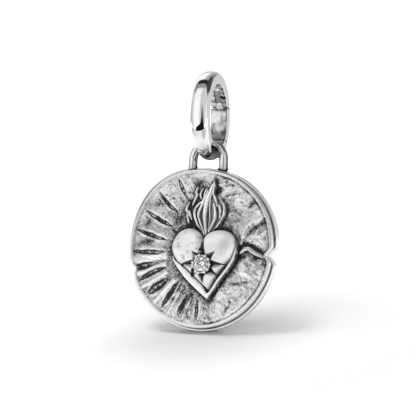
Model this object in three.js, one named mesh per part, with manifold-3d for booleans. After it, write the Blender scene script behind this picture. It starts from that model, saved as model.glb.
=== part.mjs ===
// Heart charm: a cast silver medallion with a flaming heart, hung by a wire loop on a hinged bail ring.
// Millimetres, +Z up, the medallion's face towards -Y. The origin is where a chain sits,
// at the middle of the ring's inner top.
import * as THREE from 'three';
import { ConvexGeometry } from 'three/addons/geometries/ConvexGeometry.js';
import { mergeVertices } from 'three/addons/utils/BufferGeometryUtils.js';
import Module from 'manifold-3d';

const wasm = await Module();
wasm.setup();

// Bail ring, drawn in its own plane: angles run from the rear over the top to the front
const boreDiameter = 8;
const bandThickness = 1.65;
const bandWidth = 2.2;
const bandCrown = 0.45; // how far the outside domes up between its flat sides
const bailTwist = 9; // degrees that the ring is turned about Z against the medallion
const saddleStart = 235; // degrees, where the slim saddle for the loop begins at the front
const saddleEnd = 300; // degrees
const saddleWidth = 1.9;
const saddleDepth = 1.5;

// Gate and hinge
const hingeAngle = 27; // degrees
const seamAngle = -38; // degrees, where the gate ends on the bore
const gateOpening = 28; // degrees that the gate turns into the ring
const pinDiameter = 0.6;
const knuckleDiameter = 1.2;
const knuckleWidth = 0.9;
const springThickness = 0.16;
const springWidth = 0.6;
const springLength = 1.7;
const runningClearance = 0.05;

// Loop
const wireWidth = 1.05;
const wireDepth = 1.25;
const loopInnerWidth = 3.12;
const loopLegLength = 1;
const crownClearance = 0.1; // between the loop's crown and the saddle

// Medallion
const medallionDiameter = 20;
// Swells and flats of the cast outlines: how far the edge stands out, the bearing, the spread in degrees
const rimSwells = [[0.8, 133, 36], [0.3, 200, 30], [0.16, 270, 35], [-0.26, 345, 38], [-0.1, 90, 14]];
const faceSwells = [[0.45, 125, 28], [0.06, 270, 35], [-0.26, 345, 38]];
const facePlateThickness = 0.8;
const backPlateThickness = 1.15;
const facePlateStep = 0.27; // how far the back plate's edge stands out past the face plate at the right
const edgeChamfer = 0.16;
const solderGap = 0.05;

// Heart, flame and stone
const heartWidth = 8.54;
const reliefRight = 0.15; // from the medallion's middle to the motif's
const reliefUp = 0.05;
const frameHeight = 0.75;
const frameGap = 0.14; // the dark gap between the dome and its frame
const frameRightWall = 0.26; // the frame is a thin wall on its right side
const domeHeight = 1.75;
const domeEdgeHeight = 0.35;
const starLongArm = 2.85;
const starShortArm = 2.2;
const starArmWidth = 1.05;
const starDepth = 0.4;
const flameSheetHeight = 0.22;
const flameRidgeHeight = 0.6;
const stoneDiameter = 1.8;
const girdleThickness = 0.04;
const colletDiameter = 2.4;
const colletSeatDepth = 0.85; // below the top of the dome
const colletRimHeight = 0.1; // above the stone's girdle
const colletDrill = 0.6;
const grainDiameter = 0.36;
const grainCount = 14;

const deg = Math.PI / 180;
const boreRadius = boreDiameter / 2;
const outerRadius = boreRadius + bandThickness;
const ringCentreZ = -boreRadius;
const medallionRadius = medallionDiameter / 2;
const medallionThickness = facePlateThickness + solderGap + backPlateThickness;
const loopRadius = (loopInnerWidth + wireWidth) / 2;
const crownZ = -boreDiameter + crownClearance + wireWidth / 2;
const medallionTopZ = crownZ - loopRadius - loopLegLength;

function solidFrom(geometry) {
  const bare = geometry.clone();
  bare.deleteAttribute('normal');
  bare.deleteAttribute('uv');
  const merged = mergeVertices(bare, 1e-4);
  return new wasm.Manifold(new wasm.Mesh({
    numProp: 3,
    vertProperties: new Float32Array(merged.attributes.position.array),
    triVerts: new Uint32Array(merged.index.array),
  }));
}

function geometryFrom(solid) {
  const mesh = solid.getMesh();
  const geometry = new THREE.BufferGeometry();
  geometry.setAttribute('position', new THREE.BufferAttribute(mesh.vertProperties, 3));
  geometry.setIndex(new THREE.BufferAttribute(mesh.triVerts, 1));
  geometry.computeVertexNormals();
  return geometry;
}

function unite(solids) {
  return solids.reduce((whole, solid) => whole.add(solid));
}

// A closed solid through rings of equally many points, with a fan to a middle point at each end.
// Seen from the last ring, every ring runs anticlockwise.
function loft(rings, firstMiddle, lastMiddle) {
  const count = rings[0].length;
  const points = [...rings.flat(), firstMiddle, lastMiddle];
  const first = points.length - 2;
  const last = points.length - 1;
  const index = [];
  for (let i = 0; i < count; i++) {
    const j = (i + 1) % count;
    for (let k = 0; k + 1 < rings.length; k++) {
      const low = k * count;
      const high = low + count;
      index.push(low + i, low + j, high + j, low + i, high + j, high + i);
    }
    const top = (rings.length - 1) * count;
    index.push(first, j, i, last, top + i, top + j);
  }
  const geometry = new THREE.BufferGeometry().setFromPoints(points);
  geometry.setIndex(index);
  return solidFrom(geometry);
}

function hull(points) {
  return solidFrom(new ConvexGeometry(points));
}

function cylinder(radius, length, segments, x = 0, y = 0) {
  const geometry = new THREE.CylinderGeometry(radius, radius, length, segments);
  return solidFrom(geometry.rotateX(Math.PI / 2).translate(x, y, 0));
}

// A prism of an outline between two heights
function prism(outline, bottom, top) {
  const shape = new THREE.Shape(outline);
  const geometry = new THREE.ExtrudeGeometry(shape, { depth: top - bottom, bevelEnabled: false });
  return solidFrom(geometry.translate(0, 0, bottom));
}

function polar(radius, angle, height) {
  const x = radius * Math.cos(angle * deg);
  const y = radius * Math.sin(angle * deg);
  return height === undefined ? new THREE.Vector2(x, y) : new THREE.Vector3(x, y, height);
}

// Bail ring

const ringSegments = 72;
const ringReach = outerRadius * 2; // long enough to cut the whole band from its middle
const pinCircle = boreRadius + bandThickness / 2;
const pinPlace = polar(pinCircle, hingeAngle);
const halfBand = bandWidth / 2;

// A ring turned from a section given as [radius, place across the band]
function turnedRing(section) {
  const profile = section.map(([radius, across]) => new THREE.Vector2(radius, across));
  const closed = [...profile, profile[0].clone()];
  return solidFrom(new THREE.LatheGeometry(closed, ringSegments).rotateX(Math.PI / 2));
}

function domedBand() {
  const corner = 0.14;
  const section = [[boreRadius + corner, -halfBand], [boreRadius, -halfBand + corner]];
  section.push([boreRadius, halfBand - corner], [boreRadius + corner, halfBand]);
  for (const share of [1, 0.93, 0.75, 0.45, 0.15, -0.15, -0.45, -0.75, -0.93, -1]) {
    section.push([outerRadius - bandCrown * share ** 4, halfBand * share]);
  }
  return turnedRing(section.reverse());
}

function saddleBand() {
  const middle = boreRadius + saddleDepth / 2;
  const section = [];
  for (let turn = 0; turn < 360; turn += 30) {
    section.push([middle + saddleDepth / 2 * Math.cos(turn * deg), saddleWidth / 2 * Math.sin(turn * deg)]);
  }
  return turnedRing(section);
}

// A pie slice round a point, through the whole width of the band or part of it
function slice(start, end, halfWidth = bandWidth, centre = new THREE.Vector2()) {
  const corners = [centre];
  const steps = Math.ceil((end - start) / 30);
  for (let i = 0; i <= steps; i++) {
    corners.push(polar(ringReach, start + (end - start) * i / steps).add(centre));
  }
  return prism(corners, -halfWidth, halfWidth);
}

const band = domedBand();
const seamRadius = polar(boreRadius, seamAngle).distanceTo(pinPlace);
const gateZone = slice(seamAngle - 30, hingeAngle);
const knuckle = (radius, halfWidth) => cylinder(radius, 2 * halfWidth, 24, pinPlace.x, pinPlace.y);
const earSpace = knuckle(knuckleDiameter / 2 + runningClearance, bandWidth)
  .subtract(knuckle(knuckleDiameter, knuckleWidth / 2));
const pinHole = knuckle(pinDiameter / 2 + runningClearance, bandWidth);
const springStart = hingeAngle + (knuckleDiameter / 2 + 2 * runningClearance) / pinCircle / deg;
const springEnd = springStart + springLength / boreRadius / deg;
const springOuter = boreRadius + 2 * runningClearance + springThickness;

function springBand(inner, outer) {
  return cylinder(outer, 2 * bandWidth, ringSegments).subtract(cylinder(inner, 3 * bandWidth, ringSegments));
}

// The C-shaped body: two ears at the hinge, a nose at the seam, the saddle at the bottom
function bailBody() {
  const seam = cylinder(seamRadius + runningClearance, 2 * bandWidth, 120, pinPlace.x, pinPlace.y);
  const gap = runningClearance / pinCircle / deg;
  const opening = slice(seamAngle - 30, hingeAngle + gap).intersect(seam);
  const saddle = saddleBand().intersect(slice(saddleStart - 2, saddleEnd + 2));
  const ears = knuckle(knuckleDiameter / 2, bandWidth).intersect(band);
  const pocket = springBand(boreRadius / 2, springOuter + runningClearance)
    .intersect(slice(hingeAngle, springEnd + gap, springWidth / 2 + runningClearance));
  return band.subtract(opening).subtract(slice(saddleStart, saddleEnd)).add(saddle).add(ears)
    .subtract(knuckle(knuckleDiameter / 2 + runningClearance, knuckleWidth / 2 + runningClearance))
    .subtract(pocket).subtract(pinHole);
}

// The gate: an arc from its knuckle to the seam, relieved on the bore side so that it can turn inwards
function bailGate() {
  const seam = cylinder(seamRadius, 2 * bandWidth, 120, pinPlace.x, pinPlace.y);
  const relief = slice(hingeAngle + 170, hingeAngle + 184 + gateOpening, bandWidth, pinPlace);
  const centreKnuckle = knuckle(knuckleDiameter / 2, knuckleWidth / 2).intersect(band);
  return band.intersect(gateZone).intersect(seam).subtract(relief).subtract(earSpace)
    .add(centreKnuckle).subtract(pinHole);
}

function hingePin() {
  return knuckle(pinDiameter / 2, halfBand - runningClearance);
}

function gateSpring() {
  return springBand(boreRadius + 2 * runningClearance, springOuter)
    .intersect(slice(springStart, springEnd, springWidth / 2));
}

// Medallion, drawn flat: u to the right, w up, h out of the face, and h = 0 on the face plate's field

const rimSegments = 96;
const midPlane = -medallionThickness / 2;

// A circle with swells and flats, each a bell curve of the bearing
function castRadius(radius, swells, angle) {
  return swells.reduce((reach, [height, bearing, spread]) => {
    const away = (((angle - bearing) % 360) + 540) % 360 - 180;
    return reach + height * Math.exp(-((away / spread) ** 2));
  }, radius);
}

const rimRadius = (angle) => castRadius(medallionRadius, rimSwells, angle);
const faceRadius = (angle) => castRadius(medallionRadius - facePlateStep, faceSwells, angle);

function rimOutline(radiusAt, inset, height) {
  const ring = [];
  for (let i = 0; i < rimSegments; i++) {
    const angle = 360 * i / rimSegments;
    ring.push(polar(radiusAt(angle) - inset, angle, height));
  }
  return ring;
}

// A plate between two heights, both of its edges chamfered
function rimPlate(radiusAt, inset, bottom, top) {
  const rings = [
    rimOutline(radiusAt, inset + edgeChamfer, bottom),
    rimOutline(radiusAt, inset, bottom + edgeChamfer),
    rimOutline(radiusAt, inset, top - edgeChamfer),
    rimOutline(radiusAt, inset + edgeChamfer, top),
  ];
  return loft(rings, new THREE.Vector3(0, 0, bottom), new THREE.Vector3(0, 0, top));
}

// The V notches in the rim: angle, depth, half the mouth's width
const notches = [[196.5, 1.15, 1.15], [-4.3, 1.05, 1.1]];

function notchCutter([angle, depth, halfMouth]) {
  const radius = rimRadius(angle);
  const outward = polar(1, angle);
  const across = polar(1, angle + 90);
  const at = (along, side) => outward.clone().multiplyScalar(along).addScaledVector(across, side);
  const tip = at(radius - depth, 0);
  const flare = 2; // the V goes on past the rim by this share
  const reach = radius + depth * (flare - 1);
  const mouth = [at(reach, -halfMouth * flare), at(reach, halfMouth * flare)];
  return prism([tip, ...mouth], -2 * medallionThickness, medallionThickness);
}

// Carved rays: angle and radius of the outer end, angle and radius of the inner end, width.
// The radii are shares of the medallion's radius, the widths millimetres.
const rays = [
  [112, 0.92, 109, 0.66, 0.42], [131, 0.935, 127, 0.55, 0.42], [149, 0.91, 146, 0.49, 0.46],
  [165.5, 0.92, 168, 0.49, 0.5], [183, 0.92, 185.5, 0.49, 0.62], [196, 0.93, 197.5, 0.68, 0.8],
  [206.5, 0.91, 207, 0.54, 0.65], [219.5, 0.9, 221.5, 0.58, 1.1], [236, 0.89, 235.5, 0.5, 0.65],
  [251.5, 0.885, 255, 0.6, 0.56], [268.5, 0.89, 269.5, 0.61, 0.5],
];
const rayDepth = 0.32;

// A spindle-shaped groove between two points of the field
function groove(from, to, width, depth) {
  const along = to.clone().sub(from);
  const side = new THREE.Vector2(-along.y, along.x).normalize();
  const place = (share, across, height) => {
    const spot = from.clone().addScaledVector(along, share).addScaledVector(side, across * width / 2);
    return new THREE.Vector3(spot.x, spot.y, height);
  };
  const points = [place(0.2, 0, -0.8 * depth), place(0.7, 0, -depth)];
  for (const height of [0, depth]) {
    points.push(place(0, 0, height), place(1, 0, height));
    for (const across of [-1, 1]) points.push(place(0.3, 0.9 * across, height), place(0.7, across, height));
  }
  return hull(points);
}

// The crumpled right half: hammered dents as u and w in shares of the medallion's radius, radius, depth
const dents = [
  [0.64, 0.51, 1.1, 0.2], [0.67, 0.15, 1.3, 0.22], [0.46, 0.72, 1.1, 0.16], [0.27, 0.73, 0.9, 0.22],
  [0.82, 0.31, 0.8, 0.14], [0.49, 0.36, 1.0, 0.15], [0.72, -0.39, 1.3, 0.18], [0.5, -0.54, 1.2, 0.16],
  [0.32, -0.76, 1.0, 0.2], [0.65, -0.64, 0.9, 0.14],
];

function dentCutter([uShare, wShare, radius, depth]) {
  const u = uShare * medallionRadius;
  const w = wShare * medallionRadius;
  const sides = 10;
  const ring = (size, height) => Array.from({ length: sides }, (_, i) => {
    const spot = polar(size, 360 * i / sides);
    return new THREE.Vector3(u + spot.x, w + spot.y, height);
  });
  const rings = [ring(0.5 * radius, -0.8 * depth), ring(radius, 0), ring(1.2 * radius, depth)];
  return loft(rings, new THREE.Vector3(u, w, -depth), new THREE.Vector3(u, w, depth));
}

// A raised ridge along a curve: pointed ends, a rounded top, its foot sunk by the given depth
function ridge(line, width, height, foot, steps = 9) {
  const curve = new THREE.SplineCurve(line);
  const rings = [];
  for (let i = 0; i <= steps; i++) {
    const share = i / steps;
    const swell = 0.12 + 0.88 * Math.sin(Math.PI * share) ** 0.6;
    const spot = curve.getPoint(share);
    const heading = curve.getTangent(share);
    const side = new THREE.Vector2(-heading.y, heading.x).multiplyScalar(width * swell / 2);
    const crest = foot + (height - foot) * (0.35 + 0.65 * swell);
    const shoulder = foot + 0.6 * (crest - foot);
    const place = (across, level) => (
      new THREE.Vector3(spot.x + across * side.x, spot.y + across * side.y, level));
    rings.push([place(1, foot), place(-1, foot), place(-0.7, shoulder), place(0, crest), place(0.7, shoulder)]);
  }
  const middle = (ring) => (
    ring.reduce((sum, point) => sum.add(point), new THREE.Vector3()).divideScalar(ring.length));
  return loft(rings.map((ring) => ring.reverse()), middle(rings[0]), middle(rings[steps]));
}

// The dome's outline. The heart leans: its lobes are level but its tip points to the right.
// Each list runs from the cleft to the tip, and heartWidth is the width across the two.
const domeLeft = [[0.42, 1.2], [-0.45, 2.12], [-1.7, 2.38], [-3.05, 1.75], [-3.82, 0.1], [-3.3, -1.6],
  [-2.22, -2.59], [-0.6, -4.05], [1.45, -5.4]];
const domeRight = [[0.42, 1.2], [1.45, 2.0], [2.96, 2.2], [4.2, 1.7], [4.72, 0.5], [4.28, -1.05],
  [3.34, -2.05], [2.2, -3.5], [1.45, -5.4]];
const drawnWidth = Math.max(...domeRight.map(([u]) => u)) - Math.min(...domeLeft.map(([u]) => u));
const motifScale = heartWidth / drawnWidth;
const reliefShift = new THREE.Vector2(reliefRight, reliefUp);

// Points drawn on the motif, brought to its size and place on the medallion
function route(pairs) {
  return pairs.map(([u, w]) => new THREE.Vector2(u, w).multiplyScalar(motifScale).add(reliefShift));
}

// Small tongues of flame and the lip of the fold, cast with the face plate
const plateRidges = [
  [[[-0.85, 7.6], [-1.03, 6.94], [-0.9, 6.5], [-1.21, 5.82], [-1.46, 5.3]], 0.34],
  [[[-0.06, 7.45], [-0.37, 6.88], [-0.39, 6.37], [-0.2, 5.95]], 0.3],
  [[[-1.92, 5.7], [-2.18, 5.05], [-2.21, 4.75], [-1.9, 4.16], [-1.45, 3.65]], 0.36],
  [[[-2.2, 4.2], [-2, 3.7], [-1.84, 3.0]], 0.3],
  [[[4.95, -0.7], [6.05, -0.1], [7.1, -0.65], [8.3, -1.15]], 0.6],
];
const plateRidgeHeight = 0.36;

function facePlate() {
  const solid = rimPlate(faceRadius, 0, -facePlateThickness, 0);
  const grooves = rays.map(([outerAngle, outer, innerAngle, inner, width]) => {
    const from = polar(outer * medallionRadius, outerAngle);
    return groove(from, polar(inner * medallionRadius, innerAngle), width, rayDepth);
  });
  const fold = [[4.9, 0.1], [6.1, 0.65], [6.25, 0.55], [8.9, -0.45]];
  const [foldInner, foldMiddle, foldLip, foldOuter] = route(fold);
  grooves.push(groove(foldInner, foldMiddle, 0.35, rayDepth), groove(foldLip, foldOuter, 0.4, rayDepth));
  const ridges = plateRidges.map(([pairs, width]) => (
    ridge(route(pairs), width, plateRidgeHeight, -facePlateThickness / 2)));
  return solid.subtract(unite(dents.map(dentCutter))).add(unite(ridges))
    .subtract(unite(grooves)).subtract(unite(notches.map(notchCutter)));
}

function backPlate() {
  return rimPlate(rimRadius, 0, -medallionThickness, -facePlateThickness - solderGap)
    .subtract(unite(notches.map(notchCutter)));
}

// The U of wire, its feet cut to the plates' edges
function charmLoop() {
  const sides = 12;
  const archSteps = 14;
  const centreW = rimRadius(90) + loopLegLength;
  const footW = rimRadius(90) - wireWidth;
  const stations = [[loopRadius, footW, 0], [loopRadius, (footW + centreW) / 2, 0]];
  for (let i = 0; i <= archSteps; i++) {
    const turn = 180 * i / archSteps;
    stations.push([loopRadius * Math.cos(turn * deg), centreW + loopRadius * Math.sin(turn * deg), turn]);
  }
  stations.push([-loopRadius, (footW + centreW) / 2, 180], [-loopRadius, footW, 180]);
  const rings = stations.map(([u, w, turn]) => Array.from({ length: sides }, (_, i) => {
    const around = 360 * (i + 0.5) / sides * deg;
    const square = (value) => Math.sign(value) * Math.abs(value) ** 0.75; // an ellipse, squared up a little
    const out = wireWidth / 2 * square(Math.cos(around));
    const height = midPlane - wireDepth / 2 * square(Math.sin(around));
    return new THREE.Vector3(u + out * Math.cos(turn * deg), w + out * Math.sin(turn * deg), height);
  }));
  const foot = (u) => new THREE.Vector3(u, footW, midPlane);
  const wire = loft(rings, foot(loopRadius), foot(-loopRadius));
  const seat = rimPlate(rimRadius, -solderGap, -2 * medallionThickness, -facePlateThickness)
    .add(rimPlate(faceRadius, -solderGap, -medallionThickness, medallionThickness));
  return wire.subtract(seat);
}

// Heart

const frameLeft = [[0.42, 0.9], [-1.7, 2.0], [-3.4, 0.9], [-3.62, -1.35], [-2.25, -3.4], [-0.4, -5.1],
  [1.25, -6.35]];
const frameRight = [[0.42, 0.9], [2.9, 1.8], [4.5, 1.2], [4.9, -0.6], [3.97, -2.5], [2.7, -4.15],
  [1.25, -6.35]];
const [heartMiddle, frameTip, stonePlace] = route([[0.75, -1.3], [1.25, -6.35], [0.8, -2.05]]);

function heartOutline(left, right, steps = 22) {
  const down = new THREE.SplineCurve(route(left)).getPoints(steps);
  const up = new THREE.SplineCurve(route(right)).getPoints(steps).reverse();
  return [...down.slice(0, -1), ...up.slice(0, -1)];
}

// An outline moved outwards by a distance; it runs anticlockwise
function grown(outline, distance) {
  return outline.map((point, i) => {
    const before = outline[(i + outline.length - 1) % outline.length];
    const after = outline[(i + 1) % outline.length];
    const heading = after.clone().sub(before).normalize();
    return new THREE.Vector2(point.x + heading.y * distance, point.y - heading.x * distance);
  });
}

const domeOutline = heartOutline(domeLeft, domeRight);
const domeSpace = prism(grown(domeOutline, frameGap), -1, 2 * domeHeight);
// Share of the outline's size, height
const domeProfile = [[1, domeEdgeHeight]];
for (const [scale, rise] of [[0.96, 0.41], [0.87, 0.65], [0.72, 0.82], [0.5, 0.94], [0.25, 1]]) {
  domeProfile.push([scale, Math.max(rise * domeHeight, domeEdgeHeight)]);
}

function scaledOutline(scale, height) {
  return domeOutline.map((point) => {
    const spot = point.clone().sub(heartMiddle).multiplyScalar(scale).add(heartMiddle);
    return new THREE.Vector3(spot.x, spot.y, height);
  });
}

// The dome's height over a point, from how far the point lies out towards the heart's outline
function domeSurface(spot) {
  const arm = spot.clone().sub(heartMiddle);
  const length = arm.length();
  const bearing = (point) => Math.abs(Math.atan2(
    arm.x * point.y - arm.y * point.x, arm.x * point.x + arm.y * point.y));
  const spokes = domeOutline.map((point) => point.clone().sub(heartMiddle));
  const nearest = spokes.reduce((best, point) => (bearing(point) < bearing(best) ? point : best));
  const share = Math.min(1, length / nearest.length());
  const outer = domeProfile.findLastIndex(([scale]) => scale >= share);
  if (outer === domeProfile.length - 1) return domeHeight;
  const [farScale, farHeight] = domeProfile[outer];
  const [nearScale, nearHeight] = domeProfile[outer + 1];
  return farHeight + (nearHeight - farHeight) * (farScale - share) / (farScale - nearScale);
}

// One arm of the star: a V cut that runs out to a point on the dome
function starArm(turn, length) {
  const rootRadius = 0.8 * colletDiameter / 2;
  const spot = (radius, across) => (
    polar(radius, turn).addScaledVector(polar(1, turn + 90), across * starArmWidth / 2).add(stonePlace));
  const at = (radius, across, lift) => {
    const point = spot(radius, across);
    return new THREE.Vector3(point.x, point.y, domeSurface(spot(radius, 0)) + lift);
  };
  const cover = domeHeight; // the cutter stands this far over the dome, so that it opens the whole cut
  const points = [at(length, 0, 0), at(rootRadius, 0, -starDepth), at(0.6 * length, 0, -0.8 * starDepth)];
  for (const lift of [0, cover]) {
    points.push(at(length, 0, lift), at(rootRadius, -1, lift), at(rootRadius, 1, lift));
  }
  return hull(points);
}

const colletSeat = domeHeight - colletSeatDepth;
const girdleHeight = domeHeight;

function heartDome() {
  const base = scaledOutline(1, solderGap);
  const rings = [base, ...domeProfile.map(([scale, height]) => scaledOutline(scale, height))];
  const middle = (height) => new THREE.Vector3(heartMiddle.x, heartMiddle.y, height);
  const arms = [];
  for (let i = 0; i < 8; i++) arms.push(starArm(45 * i, i % 2 ? starShortArm : starLongArm));
  const seat = cylinder(colletDiameter / 2 + solderGap, 2 * domeHeight, 32)
    .translate([stonePlace.x, stonePlace.y, domeHeight + colletSeat - solderGap]);
  return loft(rings, middle(solderGap), middle(domeHeight)).subtract(unite(arms)).subtract(seat);
}

function heartFrame() {
  const outline = heartOutline(frameLeft, frameRight);
  const rightSide = [
    heartMiddle, frameTip, new THREE.Vector2(medallionRadius, frameTip.y),
    new THREE.Vector2(medallionRadius, medallionRadius), new THREE.Vector2(heartMiddle.x, medallionRadius),
  ];
  const hollow = prism(grown(outline, -frameRightWall), -1, 2 * domeHeight)
    .intersect(prism(rightSide, -1, 2 * domeHeight));
  return prism(outline, solderGap, frameHeight).subtract(domeSpace).subtract(hollow);
}

// Flame

const flameOutline = [
  [0.42, 1.4], [-0.1, 2.2], [-0.6, 2.75], [-1, 3.5], [-1.2, 4.15], [-1.1, 4.65], [-0.7, 5.3], [0, 5.9],
  [0.15, 6.75], [0.38, 7.3], [1.05, 7.9], [1.42, 8.6], [1.65, 7.75], [1.6, 6.75], [1.75, 6.3], [2.05, 6.45],
  [2.65, 5.85], [3.02, 5.4], [3.17, 4.75], [3.12, 4.05], [2.7, 3.3], [2.3, 2.6], [1.3, 2.05],
].reverse();
const flameRidges = [
  [[[1.35, 8.45], [0.4, 7.23], [0.08, 5.89], [-0.67, 5.23], [-1.05, 4.3], [-0.49, 2.79], [0.45, 1.5]],
    0.36, 0.9],
  [[[0.69, 7.2], [0.35, 6.1], [-0.35, 4.59], [-0.43, 4.03], [-0.29, 3.41], [0.46, 1.7]], 0.3, 0.85],
  [[[1.3, 7.9], [0.98, 6.86], [0.6, 5.7], [0.42, 4.3], [0.45, 3.45], [0.65, 1.7]], 0.55, 1],
  [[[1.5, 8.5], [1.55, 7.74], [1.49, 6.72], [1.81, 5.88], [2.02, 5.1]], 0.26, 0.8],
  [[[1.5, 5.6], [1.78, 4.54], [1.82, 3.94], [1.67, 3.33], [0.95, 1.9]], 0.34, 0.9],
  [[[2.2, 5.4], [2.47, 4.48], [2.4, 3.6]], 0.24, 0.7],
  [[[2.05, 6.45], [2.91, 5.41], [3.05, 4.6], [2.9, 3.8], [2.2, 2.64], [1.6, 2.1]], 0.36, 0.9],
];

function flame() {
  const sheet = prism(route(flameOutline), solderGap, flameSheetHeight);
  const ridges = flameRidges.map(([pairs, width, share]) => (
    ridge(route(pairs), width, share * flameRidgeHeight, 2 * solderGap, 12)));
  return sheet.add(unite(ridges)).subtract(domeSpace);
}

// Stone in its collet

const stoneRadius = stoneDiameter / 2;
const pavilionDepth = 0.43 * stoneDiameter;
const crownHeight = 0.16 * stoneDiameter;

function turnedAt(profile, segments) {
  const points = profile.map(([radius, height]) => new THREE.Vector2(radius, height));
  const geometry = new THREE.LatheGeometry(points, segments).rotateX(Math.PI / 2);
  return solidFrom(geometry).translate([stonePlace.x, stonePlace.y, 0]);
}

function stone() {
  return turnedAt([
    [0, girdleHeight - pavilionDepth], [stoneRadius, girdleHeight],
    [stoneRadius, girdleHeight + girdleThickness],
    [0.56 * stoneRadius, girdleHeight + crownHeight], [0, girdleHeight + crownHeight],
  ], 16);
}

function stoneCollet() {
  const outer = colletDiameter / 2;
  const inner = stoneRadius + solderGap;
  const rim = girdleHeight + colletRimHeight;
  const ledge = girdleHeight - solderGap;
  const drillRadius = colletDrill / 2;
  const drillHeight = ledge - (inner - drillRadius) * pavilionDepth / stoneRadius;
  const tube = turnedAt([
    [drillRadius, colletSeat], [outer, colletSeat], [outer, rim], [inner, rim], [inner, ledge],
    [drillRadius, Math.max(drillHeight - solderGap, colletSeat + solderGap)], [drillRadius, colletSeat],
  ], 28);
  const grains = [];
  for (let i = 0; i < grainCount; i++) {
    const spot = polar(inner + grainDiameter / 2, 360 * i / grainCount).add(stonePlace);
    grains.push(solidFrom(new THREE.OctahedronGeometry(grainDiameter / 2, 1).translate(spot.x, spot.y, rim)));
  }
  return tube.add(unite(grains));
}

// Assembly

const silver = { color: '#c9c9c6', metalness: 1, roughness: 0.22 };
const brightSilver = { color: '#dcdcdb', metalness: 1, roughness: 0.08 };
const oxidisedSilver = { color: '#9c9c99', metalness: 1, roughness: 0.38 };
const springSteel = { color: '#8f9194', metalness: 1, roughness: 0.3 };
const clearStone = { color: '#eef2f5', metalness: 0, roughness: 0.02 };

function piece(name, solid, finish) {
  const mesh = new THREE.Mesh(geometryFrom(solid), new THREE.MeshStandardMaterial(finish));
  mesh.name = name;
  return mesh;
}

const ringPlane = new THREE.Group();
ringPlane.setRotationFromMatrix(new THREE.Matrix4().makeBasis(
  new THREE.Vector3(0, 1, 0), new THREE.Vector3(0, 0, 1), new THREE.Vector3(1, 0, 0)));
ringPlane.add(
  piece('bail_body', bailBody(), brightSilver),
  piece('bail_gate', bailGate(), brightSilver),
  piece('hinge_pin', hingePin(), silver),
  piece('gate_spring', gateSpring(), springSteel),
);

const bail = new THREE.Group();
bail.position.z = ringCentreZ;
bail.rotation.z = bailTwist * deg;
bail.add(ringPlane);

const medallion = new THREE.Group();
medallion.rotation.x = Math.PI / 2;
medallion.position.set(0, midPlane, medallionTopZ - rimRadius(90));
medallion.add(
  piece('charm_loop', charmLoop(), silver),
  piece('face_plate', facePlate(), oxidisedSilver),
  piece('back_plate', backPlate(), silver),
  piece('heart_frame', heartFrame(), silver),
  piece('heart_dome', heartDome(), silver),
  piece('flame', flame(), oxidisedSilver),
  piece('stone_collet', stoneCollet(), silver),
  piece('stone', stone(), clearStone),
);

const charm = new THREE.Group();
charm.add(bail, medallion);

export default charm;
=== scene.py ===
import bmesh
import bpy
import math
import numpy as np
from mathutils import Matrix


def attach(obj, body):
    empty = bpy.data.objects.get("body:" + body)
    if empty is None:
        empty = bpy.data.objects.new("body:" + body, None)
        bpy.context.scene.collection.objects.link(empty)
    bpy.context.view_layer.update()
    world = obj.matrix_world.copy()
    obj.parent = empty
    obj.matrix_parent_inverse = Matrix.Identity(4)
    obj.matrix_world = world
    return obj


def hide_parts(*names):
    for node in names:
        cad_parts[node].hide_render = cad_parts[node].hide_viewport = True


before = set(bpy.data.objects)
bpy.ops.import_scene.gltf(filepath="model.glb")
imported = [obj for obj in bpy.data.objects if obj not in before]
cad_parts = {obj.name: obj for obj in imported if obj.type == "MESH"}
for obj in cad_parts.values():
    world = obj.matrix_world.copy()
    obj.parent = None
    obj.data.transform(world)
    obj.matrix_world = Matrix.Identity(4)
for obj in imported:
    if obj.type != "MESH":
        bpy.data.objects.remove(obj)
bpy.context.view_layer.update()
print("solids loaded")

mm = 0.001
deg = math.pi / 180


def easedStep(low, high, value):
    # 0 below low and 1 above high, eased in between by 3t^2 - 2t^3
    t = np.clip((value - low) / (high - low), 0, 1)
    return t * t * (3 - 2 * t)


def plateau(a, b, c, d, value):
    # 0 up to a, 1 from b to c and 0 again from d on, eased in between
    return easedStep(a, b, value) * easedStep(d, c, value)


def bump(value, middle, width):
    # the bell curve e^-(distance from the middle over the width, squared)
    return np.exp(-(((value - middle) / width) ** 2))


def wrapped(degrees):
    # the same bearing between -180 and 180
    return np.mod(degrees + 180, 360) - 180


def fullTurn(count):
    # this many bearings, evenly spread over a full turn
    return np.linspace(0, 360, count, endpoint=False)


def rounded(size, leans):
    # over a rounded edge: how far in and how far down it lies at each lean from the flat, in degrees
    return [(size * (1 - math.sin(lean * deg)), size * (1 - math.cos(lean * deg))) for lean in leans]


def polar(radius, degrees, middle=(0, 0)):
    # the two distances of a point at this radius and bearing
    return middle[0] + radius * np.cos(degrees * deg), middle[1] + radius * np.sin(degrees * deg)


def measured(u, w, middle, turn):
    # a place counted from a middle: how far along a line at this bearing, and how far to the line's left
    c, s = math.cos(turn * deg), math.sin(turn * deg)
    u, w = u - middle[0], w - middle[1]
    return u * c + w * s, w * c - u * s


def lumps(x, y, spacing, seed):
    # smooth noise from -1 to 1: random values on a square lattice of this spacing, eased between its corners
    size = 97
    table = np.random.default_rng(seed).uniform(-1, 1, (size, size))
    gridX, gridY = x / spacing + 31.7, y / spacing + 47.3
    column, row = np.floor(gridX).astype(int), np.floor(gridY).astype(int)
    alongX, alongY = easedStep(0, 1, gridX - column), easedStep(0, 1, gridY - row)
    lower, upper = (table[(row + k) % size, column % size] * (1 - alongX)
                    + table[(row + k) % size, (column + 1) % size] * alongX for k in (0, 1))
    return lower * (1 - alongY) + upper * alongY


def layered(x, y, *layers):
    # the sum of such noises, each with its amount, spacing and seed
    return sum(amount * lumps(x, y, spacing, seed) for amount, spacing, seed in layers)


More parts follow.
